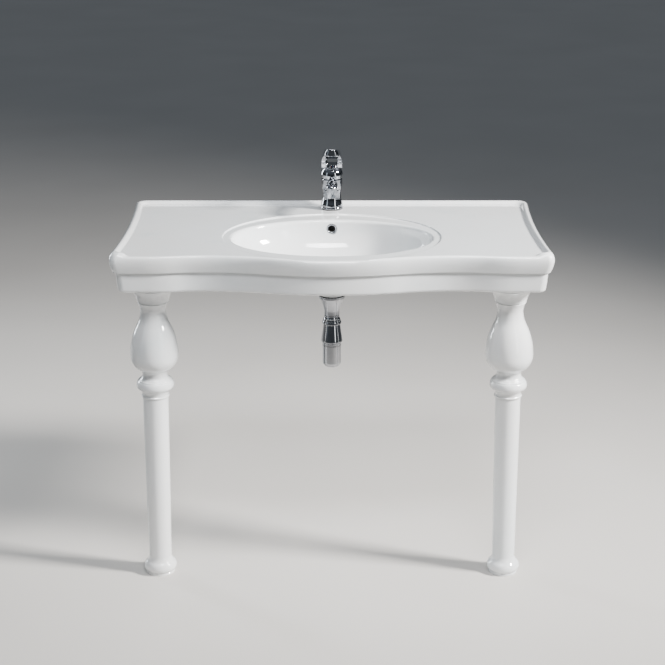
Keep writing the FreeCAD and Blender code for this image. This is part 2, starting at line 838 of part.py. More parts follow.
def leg_outline():
    """A baluster: bun foot, tapered column, collar, pear-shaped bulb and flared top."""
    ankle = (s.leg_column_foot_radius, s.leg_ankle_height)
    foot = (s.leg_foot_radius, s.leg_foot_height)
    bead = (s.leg_bead_radius, leg_top - s.leg_bead_fall)
    upper_neck = (s.leg_upper_neck_radius, bead[1] - s.leg_upper_neck_fall)
    bulb = (s.leg_bulb_radius, upper_neck[1] - s.leg_bulb_fall)
    lower_neck = (s.leg_lower_neck_radius, bulb[1] - s.leg_lower_neck_fall)
    collar = (s.leg_collar_radius, lower_neck[1] - s.leg_collar_fall)
    shoulder = (s.leg_shoulder_radius - s.leg_groove, collar[1] - s.leg_shoulder_fall)
    fillet = (s.leg_column_top_radius, shoulder[1] - s.leg_fillet_fall)
    step = s.leg_fillet_fall
    groove = s.leg_groove
    sole_fall = (foot[0] - s.leg_sole_radius) * 2
    sole_curve = (foot[1] * foot[1] + sole_fall * sole_fall / 4) / sole_fall
    points = [(leg_hollow_radius, 0), (s.leg_sole_radius, 0), (*foot, sole_curve)]
    points += ogee(foot, ankle, 0.5, 1)
    points += [fillet, (s.leg_shoulder_radius, fillet[1] + step * 0.15, s.leg_fillet_round)]
    points += [(s.leg_shoulder_radius, fillet[1] + step * 0.5, s.leg_fillet_round)]
    points += [(shoulder[0], fillet[1] + step * 0.6), shoulder]
    points += ogee(shoulder, collar, 0.5, -1)
    points += ogee(collar, lower_neck, 0.62, 1)
    points += ogee(lower_neck, bulb, 0.25, -1)
    points += ogee(bulb, upper_neck, 0.68, 1)
    points += [(*bead, -s.leg_top_radius)]
    points += [(bead[0] - groove, bead[1] + groove), (bead[0] - groove, bead[1] + groove * 3)]
    points += [(bead[0] + groove * 1.5, bead[1] + groove * 4)]
    points += [(s.leg_top_radius, leg_top - s.leg_top_band, -s.leg_top_radius), (s.leg_top_radius, leg_top)]
    insert = (s.leg_insert_radius, leg_top - s.leg_insert_length)
    stud_hole = s.leg_stud_radius + s.leg_stud_hole_play
    points += [(insert[0], leg_top), insert, (stud_hole, insert[1]), (stud_hole, leg_top - s.leg_crown)]
    neck_hollow = s.leg_upper_neck_radius - s.leg_wall
    bulb_hollow = s.leg_bulb_radius - s.leg_wall
    hollow_neck = (neck_hollow, upper_neck[1] - s.leg_wall)
    points += [(neck_hollow, leg_top - s.leg_crown), hollow_neck]
    points += ogee(hollow_neck, (bulb_hollow, bulb[1]), 0.4, 1)
    points += ogee((bulb_hollow, bulb[1]), (leg_hollow_radius, lower_neck[1]), 0.5, -1)
    return points


for side, sign in (("left", -1), ("right", 1)):
    leg_x = sign * leg_offset
    keep(turned("leg_" + side, leg_outline(), leg_x, leg_y), "leg_" + side)
    gasket_radius = s.leg_top_radius - s.leg_gasket_inset
    gasket = ring("leg_gasket_" + side, gasket_radius, s.leg_insert_radius, leg_top, apron_low, leg_x, leg_y)
    keep(gasket, "leg_gasket_" + side)

shelf_top = apron_low + s.shelf_thickness
stud_low = leg_top - s.leg_insert_length
inserts = []
studs = []
washers = []
nuts = []
for side, sign in (("left", -1), ("right", 1)):
    leg_x = sign * leg_offset
    inserts.append(ring("insert_" + side, s.leg_insert_radius, s.leg_stud_radius, stud_low, leg_top, leg_x, leg_y))
    stud_length = shelf_top + s.leg_stud_rise - stud_low
    studs.append(cylinder("stud_" + side, s.leg_stud_radius, stud_length, leg_x, leg_y, stud_low))
    bore = s.leg_stud_radius + s.leg_washer_play
    washers.append(ring("washer_" + side, s.leg_washer_radius, bore, shelf_top, shelf_top + s.leg_washer,
                        leg_x, leg_y))
    nut_low = shelf_top + s.leg_washer
    nut = hexagon("nut_blank_" + side, s.leg_nut_flats, s.leg_nut, leg_x, leg_y, nut_low)
    hole = cylinder("nut_hole_" + side, s.leg_stud_radius, s.leg_nut, leg_x, leg_y, nut_low)
    nuts.append(cut("nut_" + side, nut, hole))
keep(group("insert_pair", *inserts), "leg_inserts")
keep(group("stud_pair", *studs), "leg_studs")
keep(group("washer_pair", *washers), "leg_washers")
keep(group("nut_pair", *nuts), "leg_nuts")


# ---------------------------------------------------------------- the tap

def above_deck(height):
    return deck + height


pivot_z = above_deck(s.pivot_height)
tilt_rise = tangent(s.lift_rod_tilt)


def lift_rod_y(height):
    """How far back the leaning lift rod is at a height."""
    return tap_y + s.lift_rod_offset + (length(height) - deck) * tilt_rise


def tap_body_piece():
    """Cast brass column with a spout, chrome plated."""
    base = (s.tap_base_radius, tap_seat + s.tap_base_edge)
    waist = (s.tap_waist_radius, above_deck(s.tap_waist_height))
    shoulder = (s.tap_shoulder_radius, above_deck(s.tap_shoulder_height))
    top = above_deck(s.tap_top_height)
    points = [(0, tap_seat), (s.tap_base_radius - 1, tap_seat), (s.tap_base_radius, tap_seat + 1), base]
    points += ogee(base, waist, 0.35, 1)
    points += ogee(waist, shoulder, 0.5, -1)
    points += [(s.tap_shoulder_radius, top), (0, top)]
    column = turned("tap_column", points, 0, tap_y)

    spout = doc.addObject("Part::Feature", "tap_spout")
    spout.Shape = spout_shape()
    casting = fuse("tap_casting", column, spout)

    floor = above_deck(s.chamber_floor)
    nut_floor = cartridge_top
    chamber = cylinder("tap_chamber", s.chamber_radius, s.tap_top_height, 0, tap_y, floor)
    nut_seat = cylinder("tap_nut_seat", s.nut_seat_radius, s.tap_top_height, 0, tap_y, nut_floor)
    cavity_floor = above_deck(s.nose_low)
    nose_y = tap_y - s.spout_reach
    cavity = cylinder("aerator_cavity", s.aerator_radius, s.aerator_depth + 1, 0, nose_y, cavity_floor - 1)
    way_length = s.spout_reach
    way_z = above_deck(s.spout_root_height)
    rise = s.nose_low + s.aerator_depth - s.water_way_radius / 2 - s.spout_root_height
    slope = math.degrees(math.atan2(rise.value, way_length.value))
    way = cylinder("water_way", s.water_way_radius, way_length, 0, tap_y, way_z)
    way.Placement.Rotation = FreeCAD.Rotation(FreeCAD.Vector(1, 0, 0), 90 - slope)
    rod_low = tap_seat - s.tap_base_radius
    rod_hole = tilted_cylinder(
        "lift_rod_hole", s.lift_rod_radius + s.lift_rod_play, s.tap_top_height * 2,
        0, lift_rod_y(rod_low), rod_low, s.lift_rod_tilt,
    )
    stud_hole = cylinder("tap_stud_hole", s.tap_stud_radius, s.tap_stud_grip, 0, tap_y - s.tap_stud_offset, tap_seat)
    tools = [chamber, nut_seat, cavity, way, rod_hole, stud_hole]
    for name, sign in (("hot", -1), ("cold", 1)):
        tools.append(cylinder(f"{name}_way", s.tail_shank_radius, s.chamber_floor, sign * s.tail_offset, tap_y,
                              tap_seat))
    return cut("tap_body", casting, *tools)


def spout_shape():
    """A gently rising oval arm that ends in a round, downward nose."""
    wires = []
    steps = 8
    for step in range(steps + 1):
        share = step / steps
        rise = math.sin(share * math.pi / 2)
        y = tap_y - s.spout_reach * share
        z = above_deck(s.spout_root_height + (s.spout_crown_height - s.spout_root_height) * rise)
        thin = s.spout_thinning * share
        half_width = (s.spout_half_width - thin).value
        half_height = (s.spout_half_height - thin).value
        oval = Part.Ellipse(FreeCAD.Vector(0, 0, 0), half_width, half_height).toShape()
        oval.rotate(FreeCAD.Vector(0, 0, 0), FreeCAD.Vector(1, 0, 0), 90)
        oval.translate(vector(0, y, z))
        wires.append(Part.Wire([oval]))
    arm = Part.makeLoft(wires, True, True)
    nose = Part.makeCylinder(
        s.nose_radius.value, (s.nose_high - s.nose_low).value,
        vector(0, tap_y - s.spout_reach, above_deck(s.nose_low)),
    )
    top_edges = [edge for edge in nose.Edges if edge.BoundBox.ZMin > above_deck(s.nose_high).value - 0.01]
    nose = nose.makeFillet(s.nose_edge.value, top_edges)
    return arm.fuse(nose)


cartridge_low = above_deck(s.chamber_floor)
cartridge_top = cartridge_low + s.cartridge_height
keep(tap_body_piece(), "tap_body")
keep(ring("tap_base_gasket", s.tap_base_radius - s.tap_gasket_inset, s.tap_hole_radius, deck, tap_seat, 0, tap_y),
     "tap_base_gasket")
keep(turned("cartridge", [
    (0, cartridge_low), (s.chamber_radius - s.cartridge_play, cartridge_low),
    (s.chamber_radius - s.cartridge_play, cartridge_top), (0, cartridge_top),
], 0, tap_y), "tap_cartridge")

carrier_bore = s.carrier_radius + s.carrier_play
nut_top = cartridge_top + s.cartridge_nut_height
keep(ring("cartridge_ring", s.nut_seat_radius, carrier_bore, cartridge_top, nut_top, 0, tap_y), "cartridge_nut")

carrier_top = pivot_z + s.pivot_pin_radius * 3
slot_floor = pivot_z - s.stem_radius * 1.75
ear_gap = s.carrier_ear_inner
carrier = cylinder("carrier_blank", s.carrier_radius, carrier_top - cartridge_top, 0, tap_y, cartridge_top)
far = s.carrier_radius * 2
carrier_trim = []
for name, sign in (("left", -1), ("right", 1)):
    inner = sign * s.carrier_ear_outer
    outer = sign * far
    low_x, high_x = (inner, outer) if sign > 0 else (outer, inner)
    carrier_trim.append(block(f"carrier_trim_{name}", (low_x, tap_y - far, nut_top), (high_x, tap_y + far, pivot_z * 2)))
carrier_slot = block("carrier_slot", (-ear_gap, tap_y - far, slot_floor), (ear_gap, tap_y + far, pivot_z * 2))
pin_hole = cylinder("carrier_pin_hole", s.pivot_pin_radius, far * 2, -far, tap_y, pivot_z, (1, 0, 0))
keep(cut("carrier", carrier, *carrier_trim, carrier_slot, pin_hole), "cartridge_carrier")
keep(cylinder("stem_pin", s.pivot_pin_radius, s.carrier_ear_outer * 2, -s.carrier_ear_outer, tap_y, pivot_z,
              (1, 0, 0)), "stem_pin")

stem_low = pivot_z - s.stem_radius - 0.5
stem = cylinder("stem_bar", s.stem_radius, s.stem_rise + s.stem_radius + 0.5, 0, tap_y, stem_low)
stem_hole = cylinder("stem_hole", s.pivot_pin_radius + s.pivot_pin_play, far * 2, -far, tap_y, pivot_z, (1, 0, 0))
keep(cut("stem", stem, stem_hole), "cartridge_stem")

# the domed cover that screws down over the cartridge nut
cap_low = above_deck(s.tap_top_height)
cap_outer = ball("cap_outer", s.cap_radius, 0, tap_y, pivot_z)
cap_inner = ball("cap_inner", s.cap_radius - s.cap_wall, 0, tap_y, pivot_z)
cap_below = cylinder("cap_below", s.cap_radius * 2, s.cap_radius * 2, 0, tap_y, cap_low - s.cap_radius * 2)
cap_mouth = cylinder("cap_mouth", s.cap_opening_radius, s.cap_radius * 2, 0, tap_y, pivot_z)
keep(cut("cap", cap_outer, cap_inner, cap_below, cap_mouth), "dome_cap")


def lever_piece():
    """A cast loop lever: a domed skirt, two arms and a rising finger plate around an opening."""
    inner_radius = s.cap_radius + s.lever_gap
    outer_radius = inner_radius + s.lever_skirt
    skirt_ball = ball("skirt_ball", outer_radius, 0, tap_y, pivot_z)
    tip_low = s.lever_tip_rise - s.lever_tip_thickness
    root = outer_radius * 0.75
    profile = [
        (s.lever_back, root), (s.lever_back, s.loop_high),
        (0, s.lever_bend_rise, s.lever_bend_rise / 2),
        (-s.lever_reach, s.lever_tip_rise),
        (-s.lever_reach, tip_low, s.lever_tip_thickness / 2 + 0.5),
        (-outer_radius, s.loop_high, -s.lever_reach * 2),
        (-outer_radius * 0.7, root, s.lever_reach),
    ]
    side_view = extruded("lever_side", "YZ_Plane", profile, outer_radius)
    place(side_view, 0, tap_y, pivot_z)
    top = s.lever_tip_rise + 4
    half_tip = s.lever_tip_half_width
    arm = s.lever_arm_half_width
    front = [
        (-arm, 0), (arm, 0), (arm, s.loop_low), (half_tip, s.lever_bend_rise, s.lever_reach),
        (half_tip * 0.8, top, s.lever_reach), (-half_tip * 0.8, top),
        (-half_tip, s.lever_bend_rise, s.lever_reach), (-arm, s.loop_low, s.lever_reach),
    ]
    front_view = extruded("lever_front", "XZ_Plane", front, s.lever_reach + s.lever_back)
    place(front_view, 0, tap_y, pivot_z)
    corner = s.lever_tip_corner
    plan_view = extruded("lever_plan", "XY_Plane", [
        (-arm, s.lever_back + 1), (-arm, -s.lever_reach / 2), (-half_tip, corner - s.lever_reach),
        (corner - half_tip, -s.lever_reach, corner), (half_tip - corner, -s.lever_reach),
        (half_tip, corner - s.lever_reach, corner), (arm, -s.lever_reach / 2), (arm, s.lever_back + 1),
    ], top)
    place(plan_view, 0, tap_y, pivot_z)
    stirrup = common("lever_stirrup", side_view, front_view, plan_view)
    hub_low = pivot_z + inner_radius - s.lever_hub_depth
    hub = cylinder("lever_hub", s.lever_hub_radius, s.lever_hub_depth + s.lever_skirt + 1, 0, tap_y, hub_low)
    inside = ball("skirt_inside", inner_radius, 0, tap_y, pivot_z)
    body = fuse("lever_body", cut("lever_shell", fuse("lever_mass", skirt_ball, stirrup), inside), hub)

    far_side = s.lever_reach * 3
    below = block("skirt_below", (-far_side, -far_side, -far_side), (far_side, far_side, 0))
    place(below, -far_side, tap_y - far_side, pivot_z - s.lever_skirt_front_drop - far_side)
    wedge = doc.addObject("Part::Wedge", "skirt_slope")
    rear_rise = outer_radius * 2 * tangent(s.lever_skirt_slope)
    for name, number in (
        ("Xmin", -far_side), ("Xmax", far_side), ("X2min", -far_side), ("X2max", far_side),
        ("Ymin", 0), ("Ymax", rear_rise), ("Z2min", -outer_radius), ("Z2max", -outer_radius + 0.01),
        ("Zmin", -outer_radius), ("Zmax", outer_radius),
    ):
        wedge.setExpression(name, length(number).text)
    wedge.Placement.Rotation = FreeCAD.Rotation(FreeCAD.Vector(1, 0, 0), 90)
    place(wedge, 0, tap_y, pivot_z - s.lever_skirt_front_drop)
    loop = extruded("lever_loop", "XZ_Plane", [
        (-s.loop_half_width + 6, s.loop_low), (s.loop_half_width - 6, s.loop_low),
        (s.loop_half_width, s.loop_low + 6, 6), (s.loop_half_width, s.loop_high - 6),
        (s.loop_half_width - 6, s.loop_high, 6), (-s.loop_half_width + 6, s.loop_high),
        (-s.loop_half_width, s.loop_high - 6, 6), (-s.loop_half_width, s.loop_low + 6, 6),
    ], s.lever_reach)
    place(loop, 0, tap_y, pivot_z)
    stem_bore = cylinder("lever_stem_bore", s.stem_radius, s.stem_rise, 0, tap_y, pivot_z)
    screw_z = pivot_z + grub_rise
    screw_bore = cylinder("grub_bore", s.grub_screw_radius, s.lever_reach, 0, tap_y - s.stem_radius, screw_z, (0, -1, 0))
    plug_bore = cylinder("index_bore", s.index_plug_radius, s.lever_reach, 0, plug_y, screw_z, (0, -1, 0))
    return cut("lever", body, below, wedge, loop, stem_bore, screw_bore, plug_bore)


grub_rise = s.cap_radius + s.lever_gap - s.lever_hub_depth / 2 + 1.0
plug_front = tap_y - s.lever_hub_radius - s.index_plug * 4
plug_y = plug_front + s.index_plug
keep(lever_piece(), "tap_lever")
grub_length = tap_y - s.stem_radius - plug_y
keep(cylinder("grub", s.grub_screw_radius, grub_length, 0, plug_y, pivot_z + grub_rise, (0, 1, 0)), "lever_grub_screw")
keep(cylinder("index", s.index_plug_radius, s.index_plug, 0, plug_front, pivot_z + grub_rise, (0, 1, 0)), "index_plug")

# the aerator in the spout's nose
nose_y = tap_y - s.spout_reach
nose_z = above_deck(s.nose_low)
housing_low = nose_z - s.aerator_lip
housing_top = nose_z + s.aerator_depth - s.aerator_seal
housing_bore = s.aerator_radius - s.aerator_wall
housing = turned("aerator_shell", [
    (housing_bore, housing_low), (s.aerator_radius + 1, housing_low), (s.aerator_radius + 1, nose_z),
    (s.aerator_radius, nose_z), (s.aerator_radius, housing_top), (housing_bore, housing_top),
], 0, nose_y)
keep(housing, "aerator_housing")
keep(ring("aerator_ring", s.aerator_radius, housing_bore - 1.5, housing_top, nose_z + s.aerator_depth, 0, nose_y),
     "aerator_seal")
insert_low = housing_low + 1
insert_blank = cylinder("aerator_blank", housing_bore - s.aerator_play, housing_top - insert_low, 0, nose_y, insert_low)
jets = [cylinder("jet_centre", s.aerator_hole_radius, s.aerator_depth * 2, 0, nose_y, insert_low - 1)]
for index in range(6):
    angle = length(60.0 * index)
    jets.append(cylinder(
        f"jet_{index}", s.aerator_hole_radius, s.aerator_depth * 2,
        s.aerator_hole_ring * cosine(angle), nose_y + s.aerator_hole_ring * sine(angle), insert_low - 1,
    ))
keep(cut("aerator_core", insert_blank, *jets), "aerator_insert")

# tails, stud and horseshoe clamp that hold the tap under the deck
for name, sign in (("hot", -1), ("cold", 1)):
    tail_low = deck - s.tail_drop
    tail_top = tap_seat + s.tail_grip
    tail_end = tail_low + s.tail_end_length
    keep(turned("tail_" + name, [
        (0, tail_low), (s.tail_radius, tail_low), (s.tail_radius, tail_end), (s.tail_shank_radius, tail_end),
        (s.tail_shank_radius, tail_top), (0, tail_top),
    ], sign * s.tail_offset, tap_y), "inlet_tail_" + name)
stud_y = tap_y - s.tap_stud_offset
tap_stud_low = deck - s.tap_stud_drop
keep(cylinder("tap_stud", s.tap_stud_radius, tap_seat + s.tap_stud_grip - tap_stud_low, 0, stud_y, tap_stud_low),
     "tap_fixing_stud")


def horseshoe(name, low, high):
    """A round plate with a slot open to the back and a hole for the stud."""
    plate = cylinder(name + "_disc", s.clamp_radius, high - low, 0, tap_y, low)
    slot_far = s.clamp_radius * 2
    half = s.clamp_slot_half_width
    slot = block(name + "_slot", (-half, tap_y - s.clamp_slot_front, low - 1), (half, tap_y + slot_far, high + 1))
    hole = cylinder(name + "_hole", s.tap_stud_radius + 0.1, high - low + 2, 0, stud_y, low - 1)
    return cut(name, plate, slot, hole)


clamp_high = deck_underside
plate_high = clamp_high - s.clamp_gasket
tap_nut_high = plate_high - s.clamp_plate
keep(horseshoe("clamp_rubber", plate_high, clamp_high), "tap_clamp_gasket")
keep(horseshoe("clamp_steel", tap_nut_high, plate_high), "tap_clamp_plate")
tap_nut_low = tap_nut_high - s.tap_nut
nut_blank = hexagon("tap_nut_blank", s.tap_nut_flats, s.tap_nut, 0, stud_y, tap_nut_low)
nut_bore = cylinder("tap_nut_bore", s.tap_stud_radius, s.tap_nut, 0, stud_y, tap_nut_low)
keep(cut("tap_nut_ring", nut_blank, nut_bore), "tap_fixing_nut")


# ---------------------------------------------------------------- the pop-up waste

recess_floor = bowl_floor - s.waste_recess_depth
flange_low = recess_floor + s.flange_seal
flange_top = flange_low + s.flange_thickness
barrel_low = flange_low - s.barrel_length
body_top = waste_seat - s.lower_seal
pivot_center_z = bowl_floor - s.pivot_drop
ball_y = waste_y + s.pivot_inner_arm

keep(ring("flange_seal_ring", s.flange_radius - 1, s.waste_hole_radius, recess_floor, flange_low, 0, waste_y),
     "waste_upper_seal")
flange_blank = turned("flange_blank", [
    (s.barrel_bore, barrel_low), (s.barrel_radius, barrel_low), (s.barrel_radius, flange_low),
    (s.flange_radius, flange_low), (s.flange_radius, flange_low + 1), (s.plug_radius + 3, flange_top),
    (s.plug_radius, flange_top), (s.barrel_bore, flange_low + 1),
], 0, waste_y)
window_z = (waste_seat + bowl_floor) / 2 - s.barrel_window_height / 2
windows = [
    block("window_back_front",
          (-s.barrel_window_half_width, waste_y - s.flange_radius, window_z),
          (s.barrel_window_half_width, waste_y + s.flange_radius, window_z + s.barrel_window_height)),
]
keep(cut("flange_body", flange_blank, *windows), "waste_flange")
keep(ring("lower_seal_ring", s.waste_body_radius - 1, s.barrel_radius, body_top, waste_seat, 0, waste_y),
     "waste_lower_seal")

neck_high = body_top - s.waste_neck_drop
neck_low = neck_high - s.waste_neck_length
socket_top = neck_low + s.tail_pipe_socket
pipe_outer = s.tail_pipe_radius
pipe_inner = s.tail_pipe_radius - s.tail_pipe_wall
shell_inner = s.barrel_bore - 0.5
waste_shell = turned("waste_shell", [
    (pipe_outer, neck_low), (s.waste_neck_radius, neck_low), (s.waste_neck_radius, neck_high),
    (s.waste_body_radius, body_top - s.waste_body_rim), (s.waste_body_radius, body_top),
    (s.barrel_radius, body_top), (s.barrel_radius, barrel_low), (shell_inner, barrel_low),
    (shell_inner, neck_high + 6), (pipe_inner, neck_high - 1), (pipe_inner, socket_top), (pipe_outer, socket_top),
], 0, waste_y)
port_end_y = ball_y + s.port_end
port_start_y = waste_y + s.barrel_radius
port = cylinder("port_tube", s.port_radius, port_end_y - port_start_y, 0, port_start_y, pivot_center_z, (0, 1, 0))
port_bore = cylinder("port_bore", s.port_bore, port_end_y - waste_y + 1, 0, waste_y, pivot_center_z, (0, 1, 0))
keep(cut("waste_casting", fuse("waste_mass", waste_shell, port), port_bore), "waste_body")

arm = lift_rod_y(pivot_center_z) - ball_y
half_swing = math.degrees(math.atan2(s.lift_travel.value * math.cos(math.radians(s.lift_rod_tilt.value)) / 2,
                                     arm.value))
clamp_drop = s.lift_travel * cosine(s.lift_rod_tilt) / 2
clamp_z = pivot_center_z - clamp_drop
clamp_y = lift_rod_y(clamp_z)
rod_slope = Length(half_swing, f"atan({clamp_drop.text} / {arm.text}) / 1 deg")


def along_rod(distance):
    """A point on the sloping pivot rod, measured from the ball towards the wall."""
    return ball_y + distance * cosine(rod_slope), pivot_center_z - distance * sine(rod_slope)


seat_outer = s.port_bore
seat_play = s.pivot_ball_radius + s.pivot_ball_play
seat_start = ball_y - s.pivot_ball_radius - 1
seat_ring = cylinder("seat_blank", seat_outer, port_end_y - seat_start, 0, seat_start, pivot_center_z, (0, 1, 0))
seat_ball = ball("seat_ball", seat_play, 0, ball_y, pivot_center_z)
seat_way = cylinder("seat_way", s.rod_mouth_radius, s.flange_radius * 2, 0, waste_y, pivot_center_z, (0, 1, 0))
keep(cut("pivot_seat", seat_ring, seat_ball, seat_way), "pivot_ball_seat")
nut_start = ball_y - 1
port_nut = cylinder("port_nut_blank", s.port_nut_radius, port_end_y + s.port_nut_wall - nut_start,
                    0, nut_start, pivot_center_z, (0, 1, 0))
port_nut_bore = cylinder("port_nut_bore", s.port_radius, port_end_y - nut_start, 0, nut_start, pivot_center_z,
                         (0, 1, 0))
port_nut_way = cylinder("port_nut_way", s.rod_mouth_radius, s.flange_radius * 2, 0, waste_y, pivot_center_z,
                        (0, 1, 0))
keep(cut("port_nut", port_nut, port_nut_bore, port_nut_way), "pivot_ball_nut")

rod_start = s.pivot_inner_arm / cosine(rod_slope) + s.plug_stem_radius + 1
rod_end = arm / cosine(rod_slope) + s.pivot_rod_tail
start_y, start_z = along_rod(-rod_start)
pivot_bar = cylinder("pivot_bar", s.pivot_rod_radius, rod_start + rod_end, 0, start_y, start_z)
pivot_bar.Placement.Rotation = FreeCAD.Rotation(FreeCAD.Vector(-1, 0, 0), 90 + half_swing)
pivot_bar.setExpression("Placement.Rotation.Angle", f"(90 + {rod_slope.text}) * 1 deg")
pivot_ball = ball("pivot_ball", s.pivot_ball_radius, 0, ball_y, pivot_center_z)
keep(fuse("pivot_lever", pivot_bar, pivot_ball), "pivot_rod")

eye_z = pivot_center_z + s.pivot_inner_arm * tangent(rod_slope)
plug_rise = s.pivot_inner_arm * tangent(rod_slope) * 2
head_low = flange_top + s.plug_seal + plug_rise
stem_tail = eye_z - s.plug_eye_half_height - s.plug_stem_tail
plug_blank = turned("plug_blank", [
    (0, stem_tail), (s.plug_stem_radius, stem_tail), (s.plug_stem_radius, head_low),
    (s.plug_radius, head_low), (s.plug_radius, head_low + s.plug_thickness / 2),
    (s.plug_radius / 2, head_low + s.plug_thickness), (0, head_low + s.plug_thickness),
], 0, waste_y)
plug_eye = block("plug_eye",
                 (-s.plug_eye_half_width, waste_y - s.plug_radius, eye_z - s.plug_eye_half_height),
                 (s.plug_eye_half_width, waste_y + s.plug_radius, eye_z + s.plug_eye_half_height))
keep(cut("plug_body", plug_blank, plug_eye), "waste_plug")
keep(ring("plug_seal_ring", s.plug_radius - 1, s.plug_stem_radius, head_low - s.plug_seal, head_low, 0, waste_y),
     "plug_seal")

rod_bottom = clamp_z + s.rod_clamp_above - s.lift_rod_grip
knob_z = above_deck(s.lift_knob_low)
rod_top = knob_z + 6
rod_length = (rod_top - rod_bottom) / cosine(s.lift_rod_tilt)
keep(tilted_cylinder("lift_bar", s.lift_rod_radius, rod_length, 0, lift_rod_y(rod_bottom), rod_bottom,
                     s.lift_rod_tilt), "lift_rod")
knob_blank = turned("knob_blank", [
    (0, 0), (s.lift_knob_radius - 2, 0), (s.lift_knob_radius, 2, 2),
    (s.lift_knob_radius, s.lift_knob_length - 4), (s.lift_knob_radius - 4, s.lift_knob_length, 4),
    (0, s.lift_knob_length),
])
knob_blank.Placement.Rotation = FreeCAD.Rotation(FreeCAD.Vector(-1, 0, 0), 1)
knob_blank.setExpression("Placement.Rotation.Angle", f"{s.lift_rod_tilt.text} * 1 deg")
place(knob_blank, 0, lift_rod_y(knob_z), knob_z)
knob_bore = tilted_cylinder("knob_bore", s.lift_rod_radius, rod_length, 0, lift_rod_y(rod_bottom), rod_bottom,
                            s.lift_rod_tilt)
keep(cut("knob", knob_blank, knob_bore), "lift_knob")

clamp_half = s.rod_clamp_half_width
clamp_block = block("clamp_block",
                    (-clamp_half, clamp_y - s.rod_clamp_half_depth, clamp_z - s.rod_clamp_below),
                    (clamp_half, clamp_y + s.rod_clamp_half_depth, clamp_z + s.rod_clamp_above))
clamp_bore = tilted_cylinder("clamp_bore", s.lift_rod_radius, rod_length, 0, lift_rod_y(rod_bottom), rod_bottom,
                             s.lift_rod_tilt)
slot_half = s.rod_clamp_slot_half_width
clamp_slot = block("clamp_slot",
                   (-slot_half, clamp_y - s.rod_clamp_half_depth * 2, clamp_z - s.rod_clamp_slot_half_height),
                   (slot_half, clamp_y + s.rod_clamp_half_depth * 2, clamp_z + s.rod_clamp_slot_half_height))
screw_holes = []
screws = []
upper_z = clamp_z + s.rod_clamp_above - s.lift_rod_grip / 2
for name, height, tip in (
    ("upper", upper_z, s.lift_rod_radius),
    ("lower", clamp_z, s.rod_clamp_slot_half_width),
):
    y = lift_rod_y(height) if name == "upper" else clamp_y
    mouth = s.lift_rod_radius / 2
    screw_holes.append(cylinder(f"{name}_screw_hole", s.clamp_screw_radius, clamp_half, mouth, y, height, (1, 0, 0)))
    shank = cylinder(f"{name}_shank", s.clamp_screw_radius, clamp_half - tip, tip, y, height, (1, 0, 0))
    head = cylinder(f"{name}_head", s.clamp_screw_radius * 2, s.clamp_screw_head, clamp_half, y, height, (1, 0, 0))
    screws.append(fuse(f"{name}_screw", shank, head))
keep(cut("clamp", clamp_block, clamp_bore, clamp_slot, *screw_holes), "rod_clamp")
keep(group("screw_pair", *screws), "rod_clamp_screws")


# ---------------------------------------------------------------- the bottle trap

pipe_low = socket_top - s.tail_pipe_length
keep(ring("tail_tube", pipe_outer, pipe_inner, pipe_low, socket_top, 0, waste_y), "tail_pipe")

nut_high = body_top - s.inlet_nut_drop
nut_low = nut_high - s.inlet_nut_height
neck_top = nut_low + s.trap_neck_length
sleeve = pipe_outer + s.pipe_play
keep(ring("inlet_washer_ring", s.trap_neck_radius, sleeve, neck_top, neck_top + s.inlet_washer, 0, waste_y),
     "trap_inlet_washer")
rim_top = nut_low + s.inlet_nut_rim
keep(turned("inlet_nut", [
    (s.trap_neck_radius, nut_low), (s.inlet_nut_rim_radius, nut_low), (s.inlet_nut_rim_radius, rim_top - 2),
    (s.inlet_nut_rim_radius - 1, rim_top), (s.trap_neck_radius + 1.5, rim_top),
    (s.trap_neck_radius + 1.5, neck_top + s.inlet_washer + 1.5), (s.inlet_nut_radius, nut_high - 3),
    (s.inlet_nut_radius, nut_high), (sleeve, nut_high), (sleeve, neck_top + s.inlet_washer),
    (s.trap_neck_radius, neck_top + s.inlet_washer),
], 0, waste_y), "trap_inlet_nut")

foot = nut_low - s.trap_body_height
cup_grip = foot + s.cup_neck_height
wall_in = s.trap_wall
shell = turned("trap_shell", [
    (s.cup_neck_radius, foot), (s.trap_foot_radius - 2, foot), (s.trap_foot_radius, foot + 2, 2),
    (s.trap_foot_radius, foot + 5), (s.trap_shoulder_radius, nut_low), (s.trap_neck_radius, nut_low),
    (s.trap_neck_radius, neck_top), (sleeve, neck_top), (sleeve, nut_low - 4),
    (s.trap_shoulder_radius - wall_in, nut_low - 6), (s.cup_neck_radius, cup_grip),
], 0, waste_y)
outlet_z = nut_low - s.outlet_drop
spigot_start = waste_y + s.trap_shoulder_radius - wall_in / 2
spigot_end = waste_y + s.spigot_length
spigot = cylinder("spigot_tube", s.spigot_radius, spigot_end - spigot_start, 0, spigot_start, outlet_z, (0, 1, 0))
spigot_way = pipe_inner + s.tail_pipe_wall / 2
spigot_bore = cylinder("spigot_bore", spigot_way, s.spigot_length + 1, 0, waste_y, outlet_z, (0, 1, 0))
spigot_socket = cylinder("spigot_socket", sleeve, s.spigot_socket + 1, 0, spigot_end - s.spigot_socket, outlet_z,
                         (0, 1, 0))
trap_room = turned("trap_room", [
    (0, cup_grip), (s.cup_neck_radius, cup_grip), (s.trap_shoulder_radius - wall_in, nut_low - 6), (0, nut_low - 6),
], 0, waste_y)
keep(cut("trap_casting", fuse("trap_mass", shell, spigot), trap_room, spigot_bore, spigot_socket), "trap_body")

